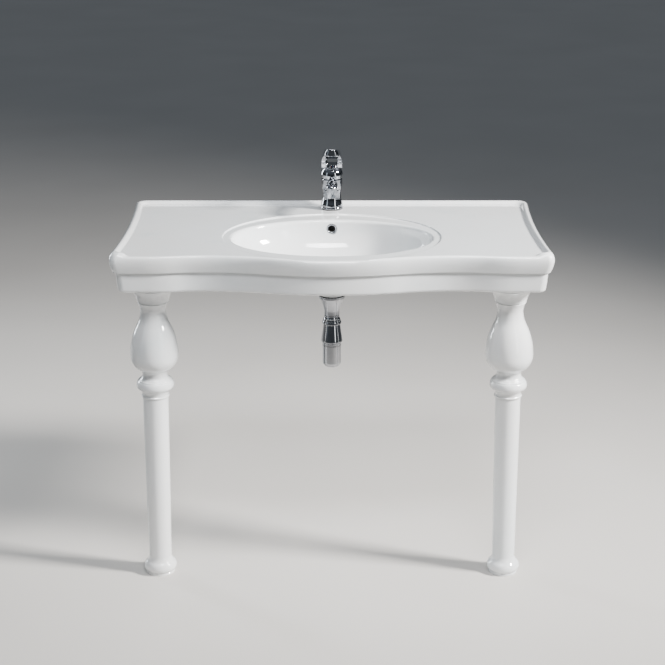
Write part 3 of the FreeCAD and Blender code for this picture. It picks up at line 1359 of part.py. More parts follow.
cup_top = foot - s.cup_seal
cup_low = cup_top - s.cup_height
curve = s.cup_corner_radius
thin = s.cup_wall
inner_curve = curve - thin
keep(turned("cup", [
    (0, cup_low), (s.cup_radius - curve, cup_low), (s.cup_radius, cup_low + curve, curve), (s.cup_radius, cup_top),
    (s.cup_neck_radius, cup_top), (s.cup_neck_radius, cup_grip - 1), (s.cup_neck_radius - thin, cup_grip - 1),
    (s.cup_neck_radius - thin, cup_low + curve), (s.cup_neck_radius - thin - inner_curve, cup_low + thin, -inner_curve),
    (0, cup_low + thin),
], 0, waste_y), "trap_cup")
keep(ring("cup_seal_ring", s.cup_radius, s.cup_neck_radius, cup_top, foot, 0, waste_y), "trap_cup_seal")

pipe_start = spigot_end - s.spigot_socket
outlet_length = wall - pipe_start


def outlet_ring(name, outer, inner, start, end):
    """A ring about the outlet's axis, which runs level to the wall."""
    outside = cylinder(name + "_outside", outer, end - start, 0, start, outlet_z, (0, 1, 0))
    inside = cylinder(name + "_inside", inner, end - start, 0, start, outlet_z, (0, 1, 0))
    return cut(name, outside, inside)


keep(outlet_ring("outlet_tube", pipe_outer, pipe_inner, pipe_start, wall), "trap_outlet_pipe")
washer_end = spigot_end + s.outlet_washer
keep(outlet_ring("outlet_washer_ring", s.spigot_radius, sleeve, spigot_end, washer_end), "trap_outlet_washer")
outlet_nut_end = washer_end + s.outlet_nut_wall
outlet_nut_start = outlet_nut_end - s.outlet_nut_length
outlet_nut_blank = outlet_ring("outlet_nut_blank", s.outlet_nut_radius, sleeve, outlet_nut_start, outlet_nut_end)
outlet_nut_room = cylinder("outlet_nut_room", s.spigot_radius, washer_end - outlet_nut_start, 0, outlet_nut_start,
                           outlet_z, (0, 1, 0))
keep(cut("outlet_nut", outlet_nut_blank, outlet_nut_room), "trap_outlet_nut")
rosette = turned("rosette_disc", [
    (pipe_outer + s.rosette_play, 0), (s.rosette_radius, 0), (s.rosette_radius, s.rosette_edge),
    (pipe_outer + s.rosette_play + 2, s.rosette_thickness), (pipe_outer + s.rosette_play, s.rosette_thickness),
])
rosette.Placement.Rotation = FreeCAD.Rotation(FreeCAD.Vector(1, 0, 0), 90)
place(rosette, 0, wall, outlet_z)
keep(rosette, "wall_rosette")


# ---------------------------------------------------------------- check and write

doc.recompute()
for item in doc.Objects:
    if "Invalid" in item.State or "Error" in item.State:
        raise RuntimeError(f"{item.Label} failed: {item.State}")
os.makedirs("parts", exist_ok=True)
for node in nodes:
    shape = node.Shape
    if shape.isNull() or not shape.isValid() or not shape.Solids:
        raise RuntimeError(f"{node.Label} has no valid solid")
for node in nodes:
    node.Shape.exportStep(f"parts/{node.Label}.step")
print(len(nodes), "sub-parts written")
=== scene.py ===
"""A console washbasin on turned ceramic legs: the looks of its pieces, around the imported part."""
import math

import bpy
import numpy as np
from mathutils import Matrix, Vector


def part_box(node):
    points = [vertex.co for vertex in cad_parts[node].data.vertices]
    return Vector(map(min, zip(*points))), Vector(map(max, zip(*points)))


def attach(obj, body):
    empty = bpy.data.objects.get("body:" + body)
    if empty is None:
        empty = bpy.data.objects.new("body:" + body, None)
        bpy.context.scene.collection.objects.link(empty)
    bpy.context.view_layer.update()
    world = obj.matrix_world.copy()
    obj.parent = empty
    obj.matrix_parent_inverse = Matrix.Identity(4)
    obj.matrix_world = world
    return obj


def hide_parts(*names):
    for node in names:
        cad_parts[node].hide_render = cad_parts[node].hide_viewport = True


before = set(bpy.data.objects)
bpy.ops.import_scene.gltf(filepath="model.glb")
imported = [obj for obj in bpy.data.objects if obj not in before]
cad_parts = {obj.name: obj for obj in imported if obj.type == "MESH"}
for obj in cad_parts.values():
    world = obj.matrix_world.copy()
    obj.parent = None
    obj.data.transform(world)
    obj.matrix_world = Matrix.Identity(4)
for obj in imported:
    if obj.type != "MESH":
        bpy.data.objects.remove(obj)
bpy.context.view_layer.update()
bpy.ops.object.select_all(action="DESELECT")


# ---------------------------------------------------------------------------------------
# The basin. One hollow piece of slip-cast fireclay with a serpentine moulded front, a
# raised lip round its back and sides, and an oval bowl inside a shallow oval step. It is
# dipped in a thick white glaze, fired, and bolted to the wall through its back.

MM = 0.001
far_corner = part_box("basin")[1]
WALL = far_corner.y / MM
HALF_WIDTH = far_corner.x / MM
RIM = far_corner.z / MM
DECK = RIM - 8
LIP_WIDTH = 24
FRONT_EDGE = 7
APRON_LOW = RIM - 100
APRON_SETBACK = 16
APRON_ROUND = (6.4, 8)
APRON_INSIDE = 31
BACK_INSIDE = 15
INSIDE_CORNER = 12
DECK_UNDERSIDE = DECK - 14
RECESS_SETBACK = 37
RECESS_REACH = 300
CORNER_SETBACK = 26
CORNER_FLAT = 60
FRONT_CORNER = 17
BACK_CORNER = 20
BACK_NARROWING = 4
SIDE_WAIST = 9
BOWL_Y = WALL - 341
BOWL_HALF = (243, 166)
STEP_HALF = (266, 221)
STEP_FALL = 3
STEP_SOFTNESS = 2.4
FADE_LOW = DECK - 14
FADE_SPAN = 12
BOWL_EDGE = 8
BOWL_TURN = DECK - STEP_FALL - BOWL_EDGE
BOWL_FLOOR = DECK - 130
BOWL_SKIN = 12
WASTE_Y = WALL - 335
WASTE_SEAT = BOWL_FLOOR - 18
WASTE_HOLE = 23
FLANGE_SEAT = (33, 3)
OVERFLOW_Z = DECK - 26
OVERFLOW_HOLE = 9.5
TAP_Y = WALL - 62
TAP_HOLE = 17.5
STEP_Z = RIM - 50
WALL_HOLE = 7
WALL_HOLE_X = 140
BOW_POINTS, CORNER_POINTS, SIDE_POINTS, BACK_CORNER_POINTS, BACK_POINTS = 100, 16, 80, 12, 60


def solid(name, points, faces):
    """A new object from points in millimetres."""
    mesh = bpy.data.meshes.new(name)
    mesh.from_pydata([tuple(p) for p in np.asarray(points) * MM], [], faces)
    mesh.validate()
    piece = bpy.data.objects.new(name, mesh)
    bpy.context.scene.collection.objects.link(piece)
    return piece


def ring_faces(rings, around, closed_loop):
    """Four-sided faces between successive rings of points."""
    faces = []
    for ring in range(rings if closed_loop else rings - 1):
        here = ring * around
        there = (ring + 1) % rings * around
        for i in range(around):
            j = (i + 1) % around
            faces.append((here + i, here + j, there + j, there + i))
    return faces


def settle(piece, sharp=40):
    """Face outwards, with smooth shading broken at real edges and flats kept flat."""
    bpy.context.view_layer.objects.active = piece
    piece.select_set(True)
    bpy.ops.object.mode_set(mode="EDIT")
    bpy.ops.mesh.select_all(action="SELECT")
    bpy.ops.mesh.normals_make_consistent(inside=False)
    bpy.ops.object.mode_set(mode="OBJECT")
    piece.select_set(False)
    piece.data.polygons.foreach_set("use_smooth", [True] * len(piece.data.polygons))
    piece.data.set_sharp_from_angle(angle=math.radians(sharp))
    weigh = piece.modifiers.new("weighted shading", "WEIGHTED_NORMAL")
    weigh.keep_sharp = True
    return piece


def wave(along, span, rise, share=0.5):
    """Two arcs that rise from level to level over a span, the first taking a share of it."""
    whole = (span * span + rise * rise) / (2 * abs(rise))
    first = whole * share - np.sqrt(np.maximum((whole * share) ** 2 - along**2, 0))
    rest = whole * (1 - share)
    last = rest - np.sqrt(np.maximum(rest**2 - (span - along) ** 2, 0))
    return np.where(along < span * share, np.sign(rise) * first, rise - np.sign(rise) * last)


def basin_line(inset, back_inset, front_corner=FRONT_CORNER, back_corner=BACK_CORNER):
    """The basin's outline from above, drawn in by inset: bow, side, back and mirror."""
    half = HALF_WIDTH - inset
    half_back = half - BACK_NARROWING
    back = WALL - back_inset
    front = -WALL + inset
    turn = half - front_corner
    flat = turn - CORNER_FLAT
    shoulder = front + CORNER_SETBACK + front_corner
    x = np.linspace(0, turn, BOW_POINTS, endpoint=False)
    bow = wave(np.clip(x, 0, RECESS_REACH), RECESS_REACH, RECESS_SETBACK)
    dip = CORNER_SETBACK - RECESS_SETBACK
    span = flat - RECESS_REACH
    bow = bow + wave(np.clip(x - RECESS_REACH, 0, span), span, dip)
    right = [np.column_stack([x, front + bow])]
    turned_by = np.radians(np.linspace(-90, 0, CORNER_POINTS, endpoint=False))
    right.append(np.column_stack([
        turn + front_corner * np.cos(turned_by), shoulder + front_corner * np.sin(turned_by)
    ]))
    t = np.linspace(0, 1, SIDE_POINTS, endpoint=False)
    right.append(np.column_stack([
        half + (half_back - half) * t - SIDE_WAIST * 4 * t * (1 - t),
        shoulder + (back - back_corner - shoulder) * t,
    ]))
    turned_by = np.radians(np.linspace(0, 90, BACK_CORNER_POINTS, endpoint=False))
    right.append(np.column_stack([
        half_back - back_corner + back_corner * np.cos(turned_by),
        back - back_corner + back_corner * np.sin(turned_by),
    ]))
    x = np.linspace(half_back - back_corner, 0, BACK_POINTS, endpoint=False)
    right.append(np.column_stack([x, np.full_like(x, back)]))
    right = np.vstack(right)
    centre_back = [[0, back]]
    left = right[:0:-1] * [-1, 1]
    return np.vstack([right, centre_back, left])


AROUND = len(basin_line(0, 0))
half_count = AROUND // 2
lip_share = np.zeros(half_count + 1)
lip_share[BOW_POINTS + 1:] = 1
lip_share[BOW_POINTS - 3:BOW_POINTS + 1] = 0.12, 0.42, 0.78, 0.97
LIP_SHARE = np.concatenate([lip_share, lip_share[half_count - 1:0:-1]])[:, None]


def step_fall(points):
    """How far the shallow oval step sinks the top at points seen from above."""
    across = points - [0, BOWL_Y]
    away = np.hypot(across[:, 0], across[:, 1])
    reach = np.hypot(across[:, 0] / STEP_HALF[0], across[:, 1] / STEP_HALF[1])
    inside = away / np.maximum(reach, 1e-6) - away
    t = np.clip(inside / STEP_SOFTNESS + 0.5, 0, 1)
    return STEP_FALL * t * t * (3 - 2 * t)


def outer_ring(side, back_inset, front):
    """One ring of the outer face. side and front are (inset, height) with and without lip."""
    with_lip = basin_line(side[0], back_inset)
    without = basin_line(front[0], back_inset)
    flat = without + (with_lip - without) * LIP_SHARE
    height = front[1] + (side[1] - front[1]) * LIP_SHARE[:, 0]
    sink = np.clip((height - FADE_LOW) / FADE_SPAN, 0, 1) * step_fall(flat)
    return np.column_stack([flat, height - sink * (1 - LIP_SHARE[:, 0])])


def oval_ring(offset, height):
    """A ring of the bowl, each point in line with its point on the basin's outline."""
    edge = basin_line(LIP_WIDTH, LIP_WIDTH) - [0, BOWL_Y]
    reach = np.hypot(edge[:, 0] / (BOWL_HALF[0] + offset), edge[:, 1] / (BOWL_HALF[1] + offset))
    flat = edge / reach[:, None] + [0, BOWL_Y]
    return np.column_stack([flat, np.full(AROUND, height)])


def bowl_ring(offset, turn):
    """A ring of the rounded bowl, turn degrees down from its upright wall."""
    t = math.radians(turn)
    drop = (BOWL_TURN - BOWL_FLOOR + offset) * math.sin(t)
    edge = basin_line(LIP_WIDTH, LIP_WIDTH) - [0, BOWL_Y]
    half = (BOWL_HALF[0] + offset, BOWL_HALF[1] + offset)
    reach = np.hypot(edge[:, 0] / half[0], edge[:, 1] / half[1])
    flat = edge / reach[:, None] * math.cos(t) + [0, BOWL_Y]
    return np.column_stack([flat, np.full(AROUND, BOWL_TURN - drop)])


def waste_ring(radius, height=None, offset=0.0):
    """A round ring about the waste, at a height or lying on the bowl."""
    edge = basin_line(LIP_WIDTH, LIP_WIDTH) - [0, WASTE_Y]
    flat = edge / np.hypot(edge[:, 0], edge[:, 1])[:, None] * radius + [0, WASTE_Y]
    if height is None:
        across = (flat - [0, BOWL_Y]) / [BOWL_HALF[0] + offset, BOWL_HALF[1] + offset]
        depth = np.sqrt(1 - (across**2).sum(axis=1))
        height = BOWL_TURN - (BOWL_TURN - BOWL_FLOOR + offset) * depth
        return np.column_stack([flat, height])
    return np.column_stack([flat, np.full(AROUND, height)])


def step_ring(offset, gap):
    """A ring beside the oval step, kept a little inside the front's top edge."""
    front = basin_line(FRONT_EDGE, LIP_WIDTH)
    edge = front + (basin_line(LIP_WIDTH + 1, LIP_WIDTH) - front) * LIP_SHARE - [0, BOWL_Y]
    away = np.hypot(edge[:, 0], edge[:, 1])
    reach = np.hypot(edge[:, 0] / STEP_HALF[0], edge[:, 1] / STEP_HALF[1])
    here = np.minimum(away / reach + offset, away - gap)
    flat = edge / away[:, None] * here[:, None] + [0, BOWL_Y]
    return np.column_stack([flat, DECK - step_fall(flat)])


rings = []
for turn in range(0, 91, 18):                       # the apron's rounded lower edge
    t = math.radians(turn)
    inset = APRON_SETBACK + APRON_ROUND[0] * (1 - math.sin(t))
    edge = (inset, APRON_LOW + APRON_ROUND[1] * (1 - math.cos(t)))
    rings.append(outer_ring(edge, 0, edge))
for inset, height in (
    (14, STEP_Z - 25), (12.1, STEP_Z - 1.6), (11.7, STEP_Z - 0.5), (10.8, STEP_Z), (8, STEP_Z + 0.3),
    (7, STEP_Z + 0.7), (6.5, STEP_Z + 1.8), (5.6, STEP_Z + 5), (2.9, STEP_Z + 12), (1.0, STEP_Z + 21),
    (0.2, STEP_Z + 26), (0, STEP_Z + 30),
):
    rings.append(outer_ring((inset, height), 0, (inset, height)))
for side, back_inset, front in (                    # over the lip, and over the front's edge
    ((0.2, DECK - 8), 0, (0.1, DECK - 9)), ((0.8, DECK - 5), 0.2, (0.4, DECK - 6.4)),
    ((2.0, DECK - 1), 0.6, (1.0, DECK - 4.0)), ((3.6, DECK + 2), 1.4, (2.0, DECK - 2.2)),
    ((5.6, DECK + 4.8), 3, (3.4, DECK - 1.0)), ((8.4, DECK + 7), 5.6, (5.0, DECK - 0.3)),
    ((11.6, DECK + 8), 9, (6.6, DECK)), ((14.4, DECK + 7.6), 13, (8.2, DECK)),
    ((17, DECK + 5.8), 16.6, (10, DECK)), ((19.2, DECK + 3.2), 19, (12, DECK)),
    ((21.4, DECK + 1), 21.4, (14, DECK)), ((LIP_WIDTH, DECK), LIP_WIDTH, (16, DECK)),
):
    rings.append(outer_ring(side, back_inset, front))
for offset, gap in ((14, 9), (5, 10.5), (1.3, 12), (0.6, 13), (0, 14), (-0.6, 15), (-1.3, 16), (-5, 17.5)):
    rings.append(step_ring(offset, gap))
rings.append(oval_ring(BOWL_EDGE + 1.5, DECK - STEP_FALL))
for turn in range(0, 91, 15):                       # the bowl's soft upper edge
    t = math.radians(turn)
    rings.append(oval_ring(BOWL_EDGE * (1 - math.sin(t)), BOWL_TURN + BOWL_EDGE * math.cos(t)))
for turn in list(range(3, 72, 3)) + [73]:
    rings.append(bowl_ring(0, turn))
seat_radius, seat_low = FLANGE_SEAT[0], BOWL_FLOOR - FLANGE_SEAT[1]
rings += [waste_ring(seat_radius + more) for more in (7, 2, 0.4)]
rings += [waste_ring(seat_radius, BOWL_FLOOR), waste_ring(seat_radius, seat_low)]
rings += [waste_ring(WASTE_HOLE, seat_low), waste_ring(WASTE_HOLE, WASTE_SEAT)]
rings += [waste_ring(seat_radius, WASTE_SEAT), waste_ring(seat_radius + 1, WASTE_SEAT + 1)]
rings.append(waste_ring(seat_radius + 1, None, BOWL_SKIN))
for turn in [73] + list(range(66, 0, -6)):
    rings.append(bowl_ring(BOWL_SKIN, turn))
rings += [oval_ring(BOWL_SKIN, BOWL_TURN), oval_ring(BOWL_SKIN + 1, DECK_UNDERSIDE)]
rings += [oval_ring(BOWL_SKIN + 4, DECK_UNDERSIDE)]
for more, height in ((9, DECK_UNDERSIDE), (2, DECK_UNDERSIDE - 2), (0, DECK_UNDERSIDE - 8),
                     (0, APRON_LOW + 6), (-2, APRON_LOW + 1.5), (-5, APRON_LOW)):
    flat = basin_line(APRON_INSIDE + more, BACK_INSIDE + more, INSIDE_CORNER, INSIDE_CORNER)
    rings.append(np.column_stack([flat, np.full(AROUND, height)]))
basin = solid("basin_glazed", np.vstack(rings), ring_faces(len(rings), AROUND, True))


def lathe(name, profile, around=96, base=(0, 0, 0), axis="Z", closed=False):
    """A turned piece: profile is (radius, height) points about an axis through base."""
    spin = np.linspace(0, 2 * math.pi, around, endpoint=False)
    points = []
    for radius, height in profile:
        x, y = radius * np.cos(spin), radius * np.sin(spin)
        along = np.full(around, float(height))
        points.append(np.column_stack({"Z": (x, y, along), "Y": (x, along, -y), "X": (along, x, y)}[axis]))
    piece = solid(name, np.vstack(points) + np.array(base), ring_faces(len(profile), around, closed))
    weld = piece.modifiers.new("weld", "WELD")
    weld.merge_threshold = 1e-6
    apply(piece)
    return piece


def apply(piece):
    """Make a piece's modifiers part of its mesh."""
    evaluated = piece.evaluated_get(bpy.context.evaluated_depsgraph_get())
    mesh = bpy.data.meshes.new_from_object(evaluated)
    piece.modifiers.clear()
    piece.data = mesh


def carve(piece, tool):
    """Cut a tool's shape out of a piece."""
    cut = piece.modifiers.new("cut", "BOOLEAN")
    cut.operation = "DIFFERENCE"
    cut.solver = "EXACT"
    cut.object = tool
    apply(piece)
    bpy.data.objects.remove(tool)


def join(name, pieces):
    """One object from several."""
    for piece in pieces:
        piece.select_set(True)
    bpy.context.view_layer.objects.active = pieces[0]
    bpy.ops.object.join()
    pieces[0].select_set(False)
    pieces[0].name = name
    return pieces[0]


back_of_bowl = BOWL_Y + BOWL_HALF[1]
tap_drill = [(0, DECK - 20), (TAP_HOLE, DECK - 20), (TAP_HOLE, DECK + 3), (0, DECK + 3)]
overflow_drill = [(0, -6), (14.2, -6), (14.0, 0.3), (13.2, 1.6), (11.6, 2.8), (10, 3.6),
                  (OVERFLOW_HOLE, 4.8), (OVERFLOW_HOLE, 19), (0, 19)]
wall_drill = [(0, -20), (WALL_HOLE, -20), (WALL_HOLE, 4), (0, 4)]
drills = [
    lathe("tap drill", tap_drill, base=(0, TAP_Y, 0)),
    lathe("overflow drill", overflow_drill, base=(0, back_of_bowl, OVERFLOW_Z), axis="Y"),
]
for side in (-1, 1):
    drills.append(lathe("wall drill", wall_drill, 48, (side * WALL_HOLE_X, WALL, STEP_Z), "Y"))
carve(basin, join("drills", drills))
settle(basin)


class Channel:
    """A socket's output, with the sums that finishes use."""

    def __init__(self, finish, socket):
        self.finish = finish
        self.socket = socket

    def sum(self, operation, first, second):
        """The output of a Math node on two channels or numbers."""
        return self.finish.node("ShaderNodeMath", {"operation": operation}, {0: first, 1: second})

    def __add__(self, other):
        return self.sum("ADD", self, other)

    def __sub__(self, other):
        return self.sum("SUBTRACT", self, other)

    def __mul__(self, other):
        return self.sum("MULTIPLY", self, other)

    def __radd__(self, other):
        return self.sum("ADD", other, self)

    def __rsub__(self, other):
        return self.sum("SUBTRACT", other, self)

    def __rmul__(self, other):
        return self.sum("MULTIPLY", other, self)


class Finish:
    """A material made of nodes."""

    def __init__(self, name, constants):
        self.material = bpy.data.materials.new(name)
        self.material.use_nodes = True
        self.tree = self.material.node_tree
        self.shader = self.tree.nodes["Principled BSDF"]
        self.set(constants)

    def node(self, kind, settings, inputs, output=0):
        """A node with its settings made first, then its sockets given values or links."""
        made = self.tree.nodes.new(kind)
        for key, value in settings.items():
            if key == "stops":
                while len(made.color_ramp.elements) < len(value):
                    made.color_ramp.elements.new(1)
                for element, (position, colour) in zip(made.color_ramp.elements, value):
                    element.position = position
                    element.color = (*colour, 1)
            else:
                setattr(made, key, value)
        for key, value in inputs.items():
            if isinstance(value, Channel):
                self.tree.links.new(value.socket, made.inputs[key])
            else:
                made.inputs[key].default_value = value
        return Channel(self, made.outputs[output])

    def set(self, sockets):
        """Give the shader's sockets their values or links."""
        for name, value in sockets.items():
            socket = self.shader.inputs[name]
            if isinstance(value, Channel):
                self.tree.links.new(value.socket, socket)
            else:
                socket.default_value = value

    def place(self):
        """Where a point lies on its own piece."""
        return self.node("ShaderNodeTexCoord", {}, {}, "Object")

    def noise(self, scale, detail=2.0, roughness=0.5):
        """Soft random patches over a piece."""
        sockets = {"Vector": self.place(), "Scale": scale, "Detail": detail, "Roughness": roughness}
        return self.node("ShaderNodeTexNoise", {}, sockets, "Fac")

    def ramp(self, factor, *stops):
        """A colour that runs from stop to stop as a factor rises."""
        return self.node("ShaderNodeValToRGB", {"stops": stops}, {"Fac": factor}, "Color")

    def mix(self, factor, first, second):
        """One colour passing into another by a factor."""
        sockets = {0: factor, 6: first, 7: second}
        return self.node("ShaderNodeMix", {"data_type": "RGBA"}, sockets, 2)

    def bump(self, height, strength, distance):
        """Fine relief in the surface."""
        sockets = {"Height": height, "Strength": strength, "Distance": distance}
        self.set({"Normal": self.node("ShaderNodeBump", {}, sockets, "Normal")})


GLAZE_WHITE = (0.74, 0.765, 0.78)
GLAZE_WARM = (0.73, 0.735, 0.735)
GLAZE_POOLED = (0.63, 0.675, 0.69)
GLAZE_SPECK = (0.5, 0.49, 0.46)
BLACK, WHITE = (0, 0, 0), (1, 1, 1)


def glaze():
    """Thick white glaze: wet-looking, faintly rippled, with soft clouds and pin marks."""
    finish = Finish("white_glaze", {"IOR": 1.52, "Coat Weight": 0.7, "Coat Roughness": 0.02, "Coat IOR": 1.5})
    clouds = finish.noise(2.6, 3.0)
    pooled = finish.noise(7.0, 4.0, 0.6)
    tone = finish.ramp(clouds, (0.38, GLAZE_WARM), (0.62, GLAZE_WHITE))
    pools = finish.ramp(pooled, (0.55, BLACK), (0.8, WHITE))
    tone = finish.mix(pools, tone, (*GLAZE_POOLED, 1))
    specks = finish.ramp(finish.noise(420.0, 1.0), (0.78, BLACK), (0.8, WHITE))
    finish.set({"Base Color": finish.mix(specks * 0.25, tone, (*GLAZE_SPECK, 1)),
                "Roughness": 0.05 + clouds * 0.07})
    ripple = finish.noise(28.0, 2.0) * 0.8 + finish.noise(160.0, 1.0) * 0.15
    finish.bump(ripple, 0.10, 0.0012)
    return finish.material


GLAZE = glaze()


def dress(piece, material, body, slot, *nodes):
    """Finish a piece, hang it on its body and let it stand for its CAD nodes."""
    piece.data.materials.clear()
    piece.data.materials.append(material)
    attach(piece, body)
    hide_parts(*nodes)
    return piece


dress(basin, GLAZE, "sink", "ceramic", "basin")


# ---------------------------------------------------------------------------------------
# The shelves and the overflow. Clay again, cast in one with the basin: a thick glazed
# shelf under each front corner takes a leg's stud, and a short channel behind the overflow
# hole, which the glaze doesn't reach, leads the water down.

LEG_X = 429
LEG_Y = WALL - 440
SHELF_REACH = 66
SHELF_THICK = 24
SHELF_SETBACK = (30, 28)


def rounded_block(name, low_corner, high_corner, round_off):
    """A block between two corners, with its edges rounded."""
    low_corner, high_corner = np.array(low_corner, float), np.array(high_corner, float)
    corners = [low_corner + (high_corner - low_corner) * [i & 1, i >> 1 & 1, i >> 2] for i in range(8)]
    faces = [(0, 2, 3, 1), (4, 5, 7, 6), (0, 1, 5, 4), (2, 6, 7, 3), (0, 4, 6, 2), (1, 3, 7, 5)]
    piece = solid(name, corners, faces)
    bevel = piece.modifiers.new("rounding", "BEVEL")
    bevel.width = round_off * MM
    bevel.segments = 4
    apply(piece)
    return piece


for name, side in (("left", -1), ("right", 1)):
    ends = sorted((side * (LEG_X - SHELF_REACH), side * (HALF_WIDTH - SHELF_SETBACK[0])))
    shelf_front = -WALL + CORNER_SETBACK + SHELF_SETBACK[1]
    shelf = rounded_block(f"leg_shelf_{name}", (ends[0], shelf_front, APRON_LOW),
                          (ends[1], LEG_Y + SHELF_REACH, APRON_LOW + SHELF_THICK), 3)
    dress(settle(shelf), GLAZE, "sink", "ceramic")

# These clay colours are painted shade: far darker than fired clay, so the channel seen through the overflow
# hole looks dark.
SHADED_CLAY_DARK = (0.07, 0.06, 0.055)
SHADED_CLAY_LIGHT = (0.12, 0.11, 0.10)
SHADED_CLAY_STAIN = (0.05, 0.045, 0.04)


def shaded_biscuit():
    """Bare fired clay, as the inside of the casting is left: dull and sandy, its colour far darker than fired
    clay as painted shade inside the overflow channel.
    """
    finish = Finish("bare_clay_painted_shade", {"IOR": 1.45})
    sand = finish.noise(240.0, 4.0, 0.7)
    stain = finish.noise(9.0, 3.0)
    grains = finish.ramp(sand, (0.3, SHADED_CLAY_DARK), (0.7, SHADED_CLAY_LIGHT))
    finish.set({"Base Color": finish.mix(stain, grains, (*SHADED_CLAY_STAIN, 1)), "Roughness": 0.8 + sand * 0.15})
    finish.bump(sand, 0.4, 0.0006)
    return finish.material


DUCT_HALF = 19
DUCT_SKIN = 4
duct_low = (-DUCT_HALF, back_of_bowl + 4, OVERFLOW_Z - 22)
duct_high = (DUCT_HALF, back_of_bowl + BOWL_SKIN + 16, DECK_UNDERSIDE + 1)
duct = rounded_block("overflow_duct", duct_low, duct_high, 3)
hollow_low = (duct_low[0] + DUCT_SKIN, back_of_bowl - 16, duct_low[2] + DUCT_SKIN)
carve(duct, rounded_block("inside of duct", hollow_low, [edge - DUCT_SKIN for edge in duct_high], 2))
dress(settle(duct), shaded_biscuit(), "sink", "ceramic")


# ---------------------------------------------------------------------------------------
# The legs. Two turned fireclay balusters, cast hollow and glazed like the basin: a bun
# foot, a slightly tapered column, a collar, a pear-shaped bulb and a flared top. Each is
# held up to its shelf by a stud screwed into a brass insert, on a thin rubber washer.

LEG_TOP = APRON_LOW - 3
GROOVE_DEPTH = 0.8
GROOVE_SPREAD = 0.9
GROOVES = (486.5, 507.5, 512)


def profile(*corners, steps=12):
    """Corners as (radius, height); a third number is the radius of the arc to that corner."""
    points = [np.array(corners[0][:2], float)]
    for corner in corners[1:]:
        start, goal = points[-1], np.array(corner[:2], float)
        if len(corner) == 3:
            chord = goal - start
            long = math.hypot(*chord)
            bend = abs(corner[2])
            side = math.copysign(1, corner[2])
            rise = math.sqrt(max(bend**2 - long**2 / 4, 0))
            centre = (start + goal) / 2 + np.array([-chord[1], chord[0]]) / long * rise * side
            begin = math.atan2(start[1] - centre[1], start[0] - centre[0])
            sweep = 2 * math.asin(min(long / 2 / bend, 1)) * side
            for i in range(1, steps):
                angle = begin + sweep * i / steps
                points.append(centre + bend * np.array([math.cos(angle), math.sin(angle)]))
        points.append(goal)
    return points


def swept(start, goal, share, pitch=1.0):
    """An S of two arcs from one (radius, height) to another, upright at both ends."""
    count = max(int(abs(goal[1] - start[1]) / pitch), 8)
    along = np.linspace(0, 1, count + 1)[1:] * abs(goal[1] - start[1])
    radius = start[0] + wave(along, abs(goal[1] - start[1]), goal[0] - start[0], share)
    return list(zip(radius, start[1] + along * np.sign(goal[1] - start[1])))


def grooved(points, *heights):
    """Fine turned grooves cut round a profile at the given heights."""
    cut_in = []
    for radius, height in points:
        depth = sum(GROOVE_DEPTH * math.exp(-(((height - h) / GROOVE_SPREAD) ** 2)) for h in heights)
        cut_in.append((radius - depth, height))
    return cut_in


foot = [(18.2, 0), (35.2, 0), (35.9, 0.8), (36.0, 5.0), (35.3, 6.0), (35.4, 6.9), (37.2, 8.0)]
foot += profile((37.2, 8.0), (40.2, 17.0, 14.6))[1:] + swept((40.2, 17), (28.2, 46), 0.45)
column = [(28.3 + 2.9 * (h - 50) / 415, h) for h in (50, 60, 100, 180, 260, 340, 400, 440, 460, 464)]
fillet = profile((31.2, 465), (33.6, 467.2, 2.6), (33.5, 470, 2.6), (32.3, 471.5))
collar = [(32.3, 474.5)] + swept((32.5, 475), (45.4, 496), 0.5, 0.4)
neck = swept((45.4, 496), (30.5, 524), 0.62, 0.4)
bulb = swept((30.5, 524), (58.3, 573), 0.25) + swept((58.3, 573), (31, 686), 0.68)
crown = profile((31, 686), (37.5, 706, -54), steps=10)[1:]
crown += [(37.4, 706.6), (36.2, 707.4), (36.3, 708.6), (38.6, 709.6)]
crown += profile((38.6, 709.6), (54, 741, -54), (54.4, 742.2, 2), (54.4, 745.6), (53.2, LEG_TOP, 1.6))[1:]
socket = [(9, LEG_TOP), (9, 725), (6, 725), (6, 721), (21, 721), (21, 676)]
hollow = swept((21, 676), (48.3, 573), 0.4, 6) + swept((48.3, 573), (18.2, 524), 0.5, 6)
outline = foot + grooved(column + fillet + collar + neck, *GROOVES) + bulb + crown + socket + hollow
for name, side in (("left", -1), ("right", 1)):
    leg = lathe(f"leg_{name}_glazed", outline, 128, (side * LEG_X, LEG_Y, 0), closed=True)
    dress(settle(leg, 32), GLAZE, "sink", "ceramic", f"leg_{name}")


def recoat(material, *names):
    """A better finish on CAD nodes whose own shape is kept."""
    for name in names:
        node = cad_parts[name]
        if not node.material_slots:
            node.data.materials.append(material)
        for held in node.material_slots:
            held.material = material


def rubber():
    """Black moulded rubber with a fine matt grain and a dusty bloom."""
    finish = Finish("black_rubber", {"IOR": 1.45})
    clean, dusty = (0.016, 0.016, 0.017), (0.045, 0.044, 0.042)
    bloom = finish.noise(60.0, 4.0, 0.6)
    finish.set({"Base Color": finish.ramp(bloom, (0.4, clean), (0.75, dusty)),
                "Roughness": 0.62 + bloom * 0.2})
    finish.bump(finish.noise(900.0, 2.0), 0.25, 0.0002)
    return finish.material


def machined(name, bright, dull, shine, pitch):
    """Bare or plated metal that shows the fine rings a turning tool leaves."""
    finish = Finish(name, {"Metallic": 1.0})
    stain = finish.noise(45.0, 4.0, 0.6)
    rings = finish.node("ShaderNodeTexWave", {"bands_direction": "Z"},
                        {"Vector": finish.place(), "Scale": pitch, "Distortion": 0.6, "Detail": 1.0}, "Fac")
    finish.set({"Base Color": finish.ramp(stain, (0.35, bright), (0.7, dull)),
                "Roughness": shine + stain * 0.16 + rings * 0.04})
    finish.bump(rings * 0.6 + finish.noise(500.0, 2.0) * 0.4, 0.2, 0.00012)
    return finish.material


